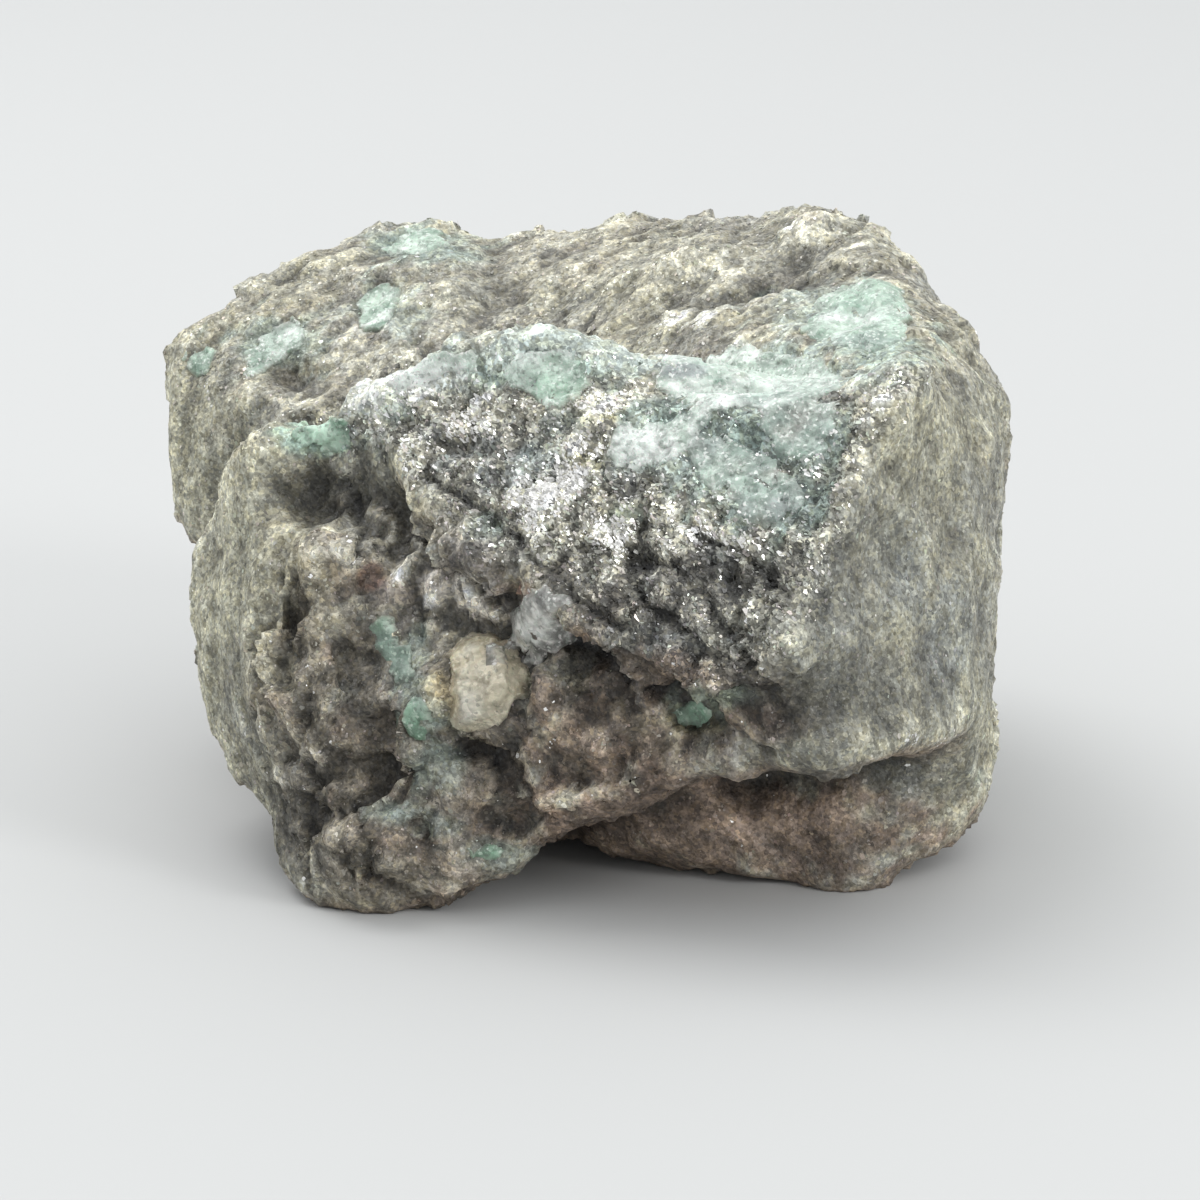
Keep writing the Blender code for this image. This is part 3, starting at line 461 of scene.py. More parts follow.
def crack_share(shift=(0.0, 0.0)):
    """exp(-(gap / width)^2) with the gap from each corner to the nearest crack, which wanders by
    noise. The shift moves all cracks right and up."""
    sway = CRACK_WANDER * noise(plain_corners, 1.6 * MM, 57)
    at = places[:, :2] + np.stack([sway, sway], 1)
    gap = np.min([line_distance(at, line + shift) for line in CRACKS], axis=0)
    return seen * np.exp(-((gap / CRACK_WIDE) ** 2))


# The upper lip of a crack is a strip just over it, which the colour lights with a painted highlight.
crack, crack_lip = crack_share(), crack_share(TO_LIP)
smooth_face = strongest(SMOOTH_FACES)
print("dents and lumps:", len(DENTS), "cracks:", len(CRACKS))

# %% [markdown]
# The skin's points are moved by lumps, by small flat faces and, on the low front, larger blocks
# that each tilt their own way, by steps where the surface cuts the layers, by slots between the
# layers, and by grains. A sculpted or scanned stone would have all of them at once; as a sum of
# named parts, each can be changed by itself.

# %% Relief of broken schist
LUMP_SIZE, LUMP_RISE = 2.6 * MM, 0.22 * MM
FACE_WIDE, FACE_THIN, FACE_TILT, FACE_RISE, FACE_SEED = 1.5 * MM, 0.9 * MM, 0.24, 0.11 * MM, 17
BLOCK_WIDE, BLOCK_THIN, BLOCK_TILT, BLOCK_RISE, BLOCK_SEED = 3.4 * MM, 2.2 * MM, 0.26, 0.20 * MM, 19
LEDGE_THICK, LEDGE_WAVE, LEDGE_RISE = 2.3 * MM, 0.5, 0.50 * MM
STEP_THICK, STEP_WAVE, STEP_RISE = 0.85 * MM, 0.8, 0.20 * MM
LAYER_BEND, LEAST_TOOTH = 4.0 * MM, 0.4
SLOT_SIZE, SLOT_SQUEEZE, SLOT_DEPTH = 1.5 * MM, 3.0, 0.45 * MM
GRAIN_SIZE, GRAIN_SQUEEZE, GRAIN_RISE = 0.70 * MM, 1.5, 0.08 * MM
# How rough the worn faces are, how much rougher the lumps are, and the roughest place.
WORN, LUMPS_ROUGH, ROUGHEST = 0.22, 1.2, 1.3
# How much of the relief a smooth face loses, and how much of the lumps, small faces and slots
# gives way to the blocks.
SMOOTH_LOSES, LUMP_GIVES, FACE_GIVES, SLOT_GIVES = 0.6, 0.6, 0.5, 0.5
SLOPE_SLOTS, WORN_LEDGES = 0.6, 0.25


def broken_faces(points, wide, thin, tilted, rise, seed):
    """Heights of small broken faces: tilted planes in a space that is stretched across the layers,
    so that the faces come out flat, each with its own height from -rise to rise."""
    plane, cell = tilted_planes(in_layers(points, wide / thin), wide, seed)
    return tilted * plane + rise * (random_at(cell, seed + 9) * 2 - 1)


def steps(points, thick, wave, seed):
    """A saw's teeth across the layers: a slow rise over each layer and a sudden fall, from -0.5
    to 0.5, with the layers made wavy by noise and each tooth of its own height."""
    level = in_layers(points)[:, 2] / thick + wave * noise(points, LAYER_BEND, seed)
    layer = np.floor(level)
    own = LEAST_TOOTH + (1 - LEAST_TOOTH) * random_at(np.stack([layer, layer, layer], 1), seed)
    return (level - layer - 0.5) * own


def relief(points):
    """How far each point of the skin moves along its normal."""
    rough = np.clip(WORN + np.maximum(broken, LUMPS_ROUGH * lumpy), 0, ROUGHEST)
    rough *= 1 - SMOOTH_LOSES * smooth_face
    jagged = 1 - smooth_face
    across = 1 - toward_layers**2
    lump = LUMP_RISE * noise(points, LUMP_SIZE, 11) * (WORN + lumpy)
    face = broken_faces(points, FACE_WIDE, FACE_THIN, FACE_TILT, FACE_RISE, FACE_SEED)
    block = broken_faces(points, BLOCK_WIDE, BLOCK_THIN, BLOCK_TILT, BLOCK_RISE, BLOCK_SEED)
    step = STEP_RISE * steps(points, STEP_THICK, STEP_WAVE, 31) * across
    ledge = LEDGE_RISE * steps(points, LEDGE_THICK, LEDGE_WAVE, 33) * across
    gap = smooth(0.34, 0.66, noise(in_layers(points, SLOT_SQUEEZE), SLOT_SIZE, 41))
    slot = SLOT_DEPTH * gap * np.maximum(lumpy, SLOPE_SLOTS * broken)
    grain = GRAIN_RISE * noise(in_layers(points, GRAIN_SQUEEZE), GRAIN_SIZE, 43)
    height = lump * (1 - LUMP_GIVES * lumpy)
    height += (face * (1 - FACE_GIVES * lumpy) + step + grain) * rough
    height += (block * lumpy - slot * (1 - SLOT_GIVES * lumpy)) * jagged
    height += ledge * (WORN_LEDGES + (1 - WORN_LEDGES) * lumpy) - CRACK_DEEP * crack
    for *place, depth in DENTS:
        height -= depth * MM * share_at(*place, DENT_FRAY, DENT_SOFT)
    return height


stone_push = relief(plain_corners)
print("relief in mm:", (stone_push.min() / MM).round(2), (stone_push.max() / MM).round(2))

# %% [markdown]
# A crystal shows where the skin lies over its solid. Cutting the skin with a Boolean would give a
# knife's edge, and a crystal's edge in schist is ragged. So near every crystal two distances are
# measured: to the stone's solid and to the crystal's. Their difference is positive inside the
# crystal's outline and negative outside, and noise added to it moves the edge.

# %% How far inside a crystal's outline each point lies
REACH = 1.6 * MM
SAMPLE = 0.22 * MM
SLICE = 2000
rng = np.random.default_rng(8278)


def random_shares(count):
    """Shares of a triangle's three corners that give evenly spread points: with two random numbers
    a and b, 1 - sqrt(a), sqrt(a)(1 - b) and sqrt(a)b."""
    r, s = np.sqrt(rng.random(count))[:, None], rng.random(count)[:, None]
    return 1 - r, r * (1 - s), r * s


def sampled(corners, triangles, spacing):
    """Random points spread evenly over triangles, one for each square of the spacing."""
    a, b, c = (corners[triangles[:, i]] for i in range(3))
    area = np.linalg.norm(np.cross(b - a, c - a), axis=1) / 2
    pick = rng.choice(len(area), int(area.sum() / spacing**2) + 1, p=area / area.sum())
    return sum(part[pick] * share for part, share in zip((a, b, c), random_shares(len(pick))))


def nearest_distance(points, targets):
    """The distance from each point to the nearest target, worked out in slices of the points by
    |p|^2 + |t|^2 - 2 p.t."""
    found = np.empty(len(points))
    for start in range(0, len(points), SLICE):
        part = points[start : start + SLICE]
        square = (part**2).sum(1)[:, None] + (targets**2).sum(1) - 2 * part @ targets.T
        found[start : start + SLICE] = np.sqrt(np.maximum(square.min(1), 0))
    return found


def inside_outline(name, stone_corners, stone_triangles):
    """Distance to the stone minus distance to the crystal, for points of the skin near it."""
    low, high = (np.array(v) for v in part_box(name))
    near = ((plain_corners > low - REACH) & (plain_corners < high + REACH)).all(1)
    middles = stone_corners[stone_triangles].mean(1)
    close = ((middles > low - 2 * REACH) & (middles < high + 2 * REACH)).all(1)
    stone = sampled(stone_corners, stone_triangles[close], SAMPLE)
    crystal = sampled(*welded([name]), SAMPLE)
    value = np.full(len(plain_corners), -REACH)
    at = plain_corners[near]
    value[near] = nearest_distance(at, stone) - nearest_distance(at, crystal)
    return value


stone_solid = welded(["schist_matrix"])
insides = {name: inside_outline(name, *stone_solid) for name in CRYSTALS}
any_inside = np.max(list(insides.values()), axis=0)
print("points of the skin over crystals:", int((any_inside > 0).sum()))

# %% [markdown]
# Over a crystal the skin sinks a little, so that the crystal's own piece covers it, and the
# relief of the stone fades. Elsewhere the skin is the stone itself. It never goes under the floor.

# %% The stone's piece
SINK = 0.16 * MM
RELIEF_LOST = 0.6
fade = smooth(-0.2 * MM, 0.5 * MM, any_inside)
skin_push = stone_push * (1 - RELIEF_LOST * fade) - SINK * fade
skin_corners = plain_corners + plain_normals * skin_push[:, None]
skin_corners[:, 2] = np.maximum(skin_corners[:, 2], 0.0)
skin_normals = corner_normals(skin_corners, skin_triangles)
stone = mesh_object("schist_stone", skin_corners, skin_triangles)
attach(stone, "root")
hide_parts("schist_matrix")
print("stone piece:", len(skin_triangles), "triangles")

# %% [markdown]
# Hollows of a broken stone hold dirt and lie in shade, so they are painted dark, dirt and painted
# shade in one, and its edges are rubbed pale. A shader's pointiness finds the finest edges only,
# and wide hollows not at all. So both are measured here: a copy of the skin is smoothed by taking
# each corner to the mean of its neighbours, many times, and where the copy lies outside the skin,
# the skin is hollow.

# %% Hollows and edges
FINE_ROUNDS, FINE_DEPTH = 20, 0.22 * MM
WIDE_ROUNDS, WIDE_DEPTH = 160, 1.3 * MM


def hollowness(rounds, depth):
    """1 in a hollow as deep as the depth or deeper, -1 on an edge, for a size set by the rounds;
    and the normals of the smoothed copy."""
    copy = neighbour_means(skin_corners, skin_triangles, rounds)
    normals = corner_normals(copy, skin_triangles)
    return np.clip(((copy - skin_corners) * normals).sum(1) / depth, -1, 1), normals


fine_hollow, soft_normals = hollowness(FINE_ROUNDS, FINE_DEPTH)
wide_hollow, _ = hollowness(WIDE_ROUNDS, WIDE_DEPTH)
print("share of fine hollows:", (fine_hollow > 0.5).mean().round(3))
print("share of wide hollows:", (wide_hollow > 0.5).mean().round(3))

# %% [markdown]
# The stone isn't one grey. The slope that lies along the layers is dark between its flakes, the
# faces that cut across them are buff, the underside is painted brown as shade, and rust and olive
# stains sit here and there. Round the crystals thin emerald runs through the stone, so it turns
# green in patches.
# Each colour is plain red, green and blue on a linear scale, and a stain may use a part of one.

# %% Colours
WARMTH = np.array([1.0, 1.0, 0.925])
LUMPS_WARMER = np.array([0.05, 0.0, -0.03])
BUFF = np.array([0.360, 0.350, 0.288])
STONE_GREY = np.array([0.262, 0.260, 0.236])
SLOPE_GREY = np.array([0.365, 0.362, 0.328])
DARK = np.array([0.060, 0.057, 0.054])
# The dark of pits and of the low front, dirt and painted shade in one.
PIT_DIRT_AND_SHADE = np.array([0.085, 0.074, 0.062])
BROWN = np.array([0.172, 0.130, 0.108])
PINK_BROWN = np.array([0.270, 0.215, 0.180])
RUST = np.array([0.260, 0.140, 0.110])
OLIVE = np.array([0.230, 0.220, 0.130])
BLUE_GREY = np.array([0.185, 0.200, 0.210])
MAUVE = np.array([0.270, 0.262, 0.258])
PALE = np.array([0.540, 0.530, 0.470])
PALE_GREY = np.array([0.500, 0.500, 0.465])
CREAM = np.array([0.610, 0.540, 0.360])
ICE = np.array([0.560, 0.630, 0.570])
SEA_GREEN = np.array([0.350, 0.440, 0.380])
TEAL = np.array([0.250, 0.320, 0.285])
DEEP_GREEN = np.array([0.120, 0.190, 0.150])
# Milky white, which also serves as painted white sheen and highlights.
MILK_AND_SHEEN = np.array([0.800, 0.840, 0.800])
LEAF = np.array([0.300, 0.330, 0.220])
FRESH_GREEN = np.array([0.430, 0.590, 0.470])
print("colours from", DARK.round(2), "to", MILK_AND_SHEEN.round(2))

# %% [markdown]
# Each stain of the stone is a soft ball of colour round a place of the surface, and noise breaks
# its edge. Some are stains of the stone and many are painted light: painted shade in pits, cracks
# and crevices, under the ledge and the overhang, over the low front, on the foot and the underside,
# a painted shadow at the low left edge, and painted highlights where flakes glint and on two
# ridges; pale stone under the ledge is painted paler against its shade. They could be painted on
# an image; as a list they stay sharp at any size, and each can be moved by two numbers. A later
# stain lies over the earlier ones.

# %% Stains and painted light of the stone
# Each stain: right, up, width and height, its colour and how strongly it covers.
STAINS_AND_PAINTED_LIGHT = (
    (-18.6, 1.0, 4.4, 7.5, BUFF, 0.8),
    # Painted shade, with some dirt, in the pits of the left and over the low front.
    (-15.6, 6.4, 3.4, 1.9, PIT_DIRT_AND_SHADE, 0.5),
    (-12.0, 4.6, 2.6, 1.4, PIT_DIRT_AND_SHADE, 0.4),
    (-16.6, -2.0, 1.0, 3.0, PIT_DIRT_AND_SHADE, 0.7),
    (-15.6, -6.6, 1.2, 2.2, PIT_DIRT_AND_SHADE, 0.7),
    (-13.2, -3.4, 1.3, 2.2, PIT_DIRT_AND_SHADE, 0.75),
    (-12.9, -10.2, 3.0, 1.8, PIT_DIRT_AND_SHADE, 0.8),
    (-9.6, -7.4, 6.4, 6.4, PIT_DIRT_AND_SHADE * 1.9, 0.55),
    (-11.0, -14.4, 5.4, 2.6, PIT_DIRT_AND_SHADE * 1.1, 0.75),
    (-15.4, -11.4, 3.2, 2.2, PIT_DIRT_AND_SHADE * 0.9, 0.8),
    (0.6, -7.6, 4.4, 2.4, BROWN, 0.4),
    # Pale mauve and grey stone under the ledge, painted paler than it is against the overhang's shade.
    (-6.8, -0.8, 1.9, 1.4, PALE * 0.85, 0.8),
    (-7.4, -2.4, 1.2, 1.4, BUFF * 1.2, 0.7),
    (-8.0, 2.3, 2.6, 1.6, MAUVE * 0.75, 0.85),
    (-8.2, -0.3, 2.2, 1.4, PALE_GREY * 1.1, 0.85),
    (-9.2, 0.9, 1.4, 1.2, MAUVE * 1.4, 0.8),
    (-11.0, 3.2, 1.5, 1.0, PALE_GREY * 0.9, 0.7),
    # Dark mica under the glitter and on the lower slope, and painted shade in the crack at the ledge's
    # end.
    (4.6, 0.6, 3.2, 1.8, DARK * 1.8, 0.6),
    (3.6, -1.2, 3.6, 1.3, DARK * 2.2, 0.6),
    (0.3, -0.5, 2.0, 1.3, PIT_DIRT_AND_SHADE * 1.2, 0.8),
    (2.4, 2.4, 1.0, 1.3, DARK * 0.9, 0.75),
    (5.0, 2.0, 1.7, 0.8, DARK * 0.9, 0.6),
    (8.8, -0.4, 2.0, 1.4, SLOPE_GREY * 0.95, 0.8),
    (3.0, -2.8, 3.4, 1.5, BLUE_GREY * 0.48, 0.8),
    (9.0, -2.8, 2.4, 1.6, STONE_GREY * 0.65, 0.6),
    # Painted shade under the ledge and in two pits of the low front.
    (-3.6, 1.6, 2.4, 0.8, PIT_DIRT_AND_SHADE, 0.6),
    (-5.8, -9.0, 3.1, 1.9, PIT_DIRT_AND_SHADE, 0.85),
    (-5.2, -12.6, 2.2, 1.4, PIT_DIRT_AND_SHADE, 0.7),
    # Pale stone under the ledge, painted paler against its shade.
    (-12.6, 2.7, 2.6, 1.4, PALE_GREY, 0.8),
    (-9.4, -2.6, 1.8, 2.2, PALE * 0.8, 0.5),
    # Painted shade on the low front and under the ledge, and a painted shadow at the low left edge.
    (-2.4, -5.7, 2.4, 1.7, PINK_BROWN * 0.36, 0.9),
    (-1.4, 0.2, 2.4, 1.4, DARK * 1.3, 0.7),
    (-8.0, 5.2, 1.5, 1.4, SLOPE_GREY * 0.42, 0.75),
    (-5.2, 2.4, 1.7, 1.4, DARK * 1.8, 0.55),
    (-16.4, -12.0, 2.4, 3.2, PIT_DIRT_AND_SHADE * 0.6, 0.8),
    # Pink-brown, mauve and cream stone.
    (3.2, -4.2, 4.0, 1.3, PINK_BROWN * 0.6, 0.75),
    (-2.7, -2.9, 1.1, 1.1, MAUVE * 1.5, 0.8),
    (-8.6, -5.4, 1.5, 1.6, CREAM * 0.8, 0.8),
    # Painted shade under the overhang, and below it on the foot and the underside.
    (9.2, -5.7, 2.9, 1.9, BROWN * 0.45, 0.95),
    (8.4, -4.8, 2.0, 1.2, DARK * 1.3, 0.85),
    (10.4, -6.8, 1.9, 1.2, BROWN * 0.35, 0.85),
    (4.6, -5.6, 3.2, 0.9, BROWN * 0.6, 0.8),
    (6.0, -12.6, 13.0, 3.4, BROWN * 1.1, 0.95),
    (7.4, -11.4, 3.6, 1.5, BROWN * 1.7, 0.8),
    # Rust, olive and blue-grey stains, and darker and paler patches of the stone.
    (-4.8, 0.2, 0.8, 0.9, RUST, 0.9),
    (-12.5, 1.4, 0.8, 0.8, RUST, 0.7),
    (0.4, 10.2, 2.6, 0.5, OLIVE, 0.8),
    (-0.7, 7.6, 1.2, 0.7, OLIVE, 0.7),
    (5.2, -6.6, 1.8, 0.8, OLIVE, 0.6),
    (16.4, 2.4, 1.8, 3.6, BLUE_GREY, 0.65),
    (19.2, -2.4, 1.7, 3.2, BLUE_GREY, 0.6),
    (12.6, -1.0, 2.2, 3.0, BLUE_GREY, 0.4),
    (14.4, -5.0, 5.4, 3.8, STONE_GREY * 0.44, 0.75),
    (15.8, 5.6, 2.8, 3.8, BUFF * 0.75, 0.5),
    (14.6, 0.4, 4.0, 3.4, STONE_GREY * 0.8, 0.4),
    (12.0, 0.0, 3.0, 4.0, STONE_GREY * 0.8, 0.5),
    (4.0, 18.2, 8.0, 2.4, PALE * 0.9, 0.4),
    (14.2, 5.2, 1.9, 2.0, STONE_GREY * 0.55, 0.85),
    (11.3, 2.4, 1.7, 1.6, STONE_GREY * 0.5, 0.75),
    (11.4, -0.3, 1.6, 1.5, STONE_GREY * 0.6, 0.6),
    (12.6, -8.6, 3.4, 1.4, STONE_GREY * 0.45, 0.75),
    (-14.0, 10.7, 2.2, 1.1, PALE * 1.15, 0.85),
    (-11.6, 11.2, 3.0, 1.4, PALE * 1.2, 0.6),
    (-13.4, 13.6, 1.6, 1.6, PALE, 0.7),
    (-16.6, 11.4, 1.6, 1.4, PALE * 0.9, 0.7),
    (-9.2, 18.6, 2.6, 1.8, STONE_GREY * 0.7, 0.7),
    (14.0, 19.0, 1.8, 1.4, STONE_GREY * 0.75, 0.6),
    # Pale mauve under the ledge, painted paler against its shade.
    (-6.6, -0.3, 2.4, 1.4, MAUVE * 1.75, 0.7),
    # Painted shade on the foot and over the low left.
    (3.2, -8.4, 2.0, 1.4, BROWN * 0.7, 0.6),
    (14.0, -14.0, 2.6, 1.4, BROWN * 0.6, 0.7),
    (-14.6, -10.6, 7.0, 5.0, STONE_GREY * 0.55, 0.40),
    (-15.4, -3.0, 6.4, 2.4, STONE_GREY * 0.65, 0.35),
    # Pale and buff patches.
    (-5.4, 10.7, 1.9, 1.1, PALE * 1.1, 0.8),
    (4.2, 5.3, 2.4, 1.2, PALE * 1.05, 0.75),
    (17.0, 9.0, 1.6, 3.2, BUFF * 0.85, 0.7),
    (-9.0, 18.0, 7.0, 3.0, PALE, 0.25),
    # Painted shade in a crevice at the back left, and buff stone at the far left.
    (-17.4, 12.0, 1.5, 1.0, DARK, 0.7),
    (-22.6, 8.0, 2.4, 4.0, BUFF * 0.7, 0.4),
    # Painted highlights on two ridges of the back and painted shade in the crevice between them, then
    # buff and pale stone.
    (5.8, 18.0, 2.6, 0.8, PALE, 0.8),
    (11.6, 20.0, 2.2, 0.9, PALE, 0.7),
    (9.6, 17.6, 2.2, 0.9, DARK * 1.8, 0.7),
    (1.0, 17.0, 3.0, 1.2, BUFF, 0.5),
    (2.2, 11.6, 1.6, 0.8, PALE, 0.9),
    # Painted highlights where flakes glint.
    (3.6, 15.6, 1.1, 0.8, PALE * 1.7, 0.98),
    (5.4, 15.9, 1.1, 0.8, PALE * 1.7, 0.98),
    # Pale stone of the crest.
    (-0.2, 10.8, 1.4, 0.9, PALE * 1.2, 0.8),
    # A painted highlight where flakes glint.
    (7.6, 14.6, 0.9, 0.5, PALE, 0.9),
    # Painted shade, with some dirt, in two dents.
    (7.4, 1.2, 1.9, 1.3, DARK, 0.7),
    (8.2, 8.4, 1.0, 0.9, DARK, 0.75),
    # Painted highlights where the slope's flakes glint.
    (-3.7, 5.3, 1.5, 1.2, PALE * 1.5, 0.95),
    (-1.9, 6.5, 1.5, 0.9, PALE * 1.35, 0.9),
    (0.9, 3.7, 1.3, 1.0, PALE * 1.55, 0.95),
    (-0.6, 8.4, 1.6, 0.6, PALE * 1.3, 0.8),
    # Pale, blue-grey and grey stone.
    (-8.6, 10.4, 2.4, 0.9, PALE * 0.95, 0.45),
    (-4.6, 7.2, 2.2, 1.3, BLUE_GREY * 1.8, 0.6),
    (2.6, 5.0, 2.4, 1.2, SLOPE_GREY * 1.1, 0.5),
    (14.2, 10.9, 2.0, 1.1, PALE * 0.95, 0.7),
    # Pale grey under the ledge, painted paler against its shade.
    (-10.7, 2.4, 1.5, 1.4, PALE_GREY * 1.1, 0.7),
)
print("stains:", len(STAINS_AND_PAINTED_LIGHT))

# %% [markdown]
# Emerald isn't only in the crystals: thin films of it run out into the stone. In turn white veils
# run through the crystals, with painted white sheen and painted highlights among them, stone shows
# through them, and mica has grown over some of them. A crystal for each film would be hundreds of
# slivers, so these are patches of colour too.

# %% Thin emerald, veils, painted sheen and overgrowth
# Thin emerald in the stone: right, up, width and height, colour and cover.
GREENS = (
    (-4.0, 12.9, 5.6, 1.4, SEA_GREEN * 1.2, 0.9),
    (-2.6, 14.2, 5.0, 0.8, ICE, 0.95),
    (-10.6, 12.8, 4.4, 1.3, ICE * 1.15, 0.9),
    (-12.2, 11.6, 2.8, 1.5, ICE * 1.15, 0.7),
    (-11.4, 12.3, 3.6, 0.9, MILK_AND_SHEEN * 0.9, 0.85),
    (-13.8, 11.0, 1.6, 1.0, MILK_AND_SHEEN * 0.9, 0.8),
    (-5.2, 13.7, 2.0, 0.8, MILK_AND_SHEEN * 0.9, 0.6),
    (4.0, 13.4, 2.6, 0.9, MILK_AND_SHEEN * 0.9, 0.6),
    (-5.2, 13.7, 2.0, 1.0, ICE * 1.25, 0.9),
    (1.4, 13.2, 1.8, 0.8, ICE, 0.9),
    (-2.2, 9.8, 1.6, 0.9, BLUE_GREY, 0.5),
    (3.4, 10.2, 2.2, 1.4, TEAL, 0.85),
    (5.2, 9.6, 1.6, 1.2, TEAL, 0.85),
    (7.6, 8.8, 2.8, 2.2, TEAL, 0.85),
    (5.2, 11.9, 2.2, 0.9, SEA_GREEN, 0.9),
    (3.0, 8.2, 2.4, 1.3, ICE, 0.8),
    (6.4, 6.6, 1.8, 1.6, SEA_GREEN, 0.75),
    (10.8, 9.2, 2.8, 2.4, TEAL, 0.8),
    (9.4, 5.4, 2.8, 2.0, TEAL, 0.8),
    (9.0, 12.6, 5.6, 1.6, ICE, 0.9),
    (13.8, 12.6, 2.6, 1.0, ICE, 0.8),
    (15.0, 14.0, 3.2, 1.6, SEA_GREEN, 0.8),
    (12.6, 16.2, 3.6, 1.4, ICE, 0.6),
    (-15.4, 8.9, 2.6, 1.0, FRESH_GREEN * 0.9, 0.9),
    (-17.8, 14.2, 2.8, 1.5, TEAL, 0.6),
    (-9.6, 19.6, 3.2, 1.2, TEAL * 1.2, 0.65),
    (-11.6, 16.0, 2.0, 1.6, ICE, 0.5),
    (-10.4, -3.6, 0.9, 2.6, TEAL * 0.6, 0.6),
    (-9.6, -6.2, 1.1, 1.3, ICE * 0.65, 0.6),
    (-9.0, -9.2, 1.4, 1.6, TEAL * 0.5, 0.5),
    (-5.4, -14.0, 2.2, 0.8, TEAL * 0.6, 0.55),
    (-11.2, -11.6, 1.6, 0.5, ICE * 0.65, 0.5),
    (-8.8, -12.4, 1.3, 0.5, ICE * 0.65, 0.45),
    (1.2, 4.8, 0.8, 0.6, LEAF, 0.8),
    (5.6, -5.8, 2.0, 0.9, LEAF, 0.6),
    (20.9, -9.8, 0.6, 0.8, TEAL, 0.6),
    (-6.2, 4.2, 1.2, 0.7, SEA_GREEN, 0.35),
    (-3.4, 8.0, 1.4, 0.8, BLUE_GREY * 1.5, 0.5),
)
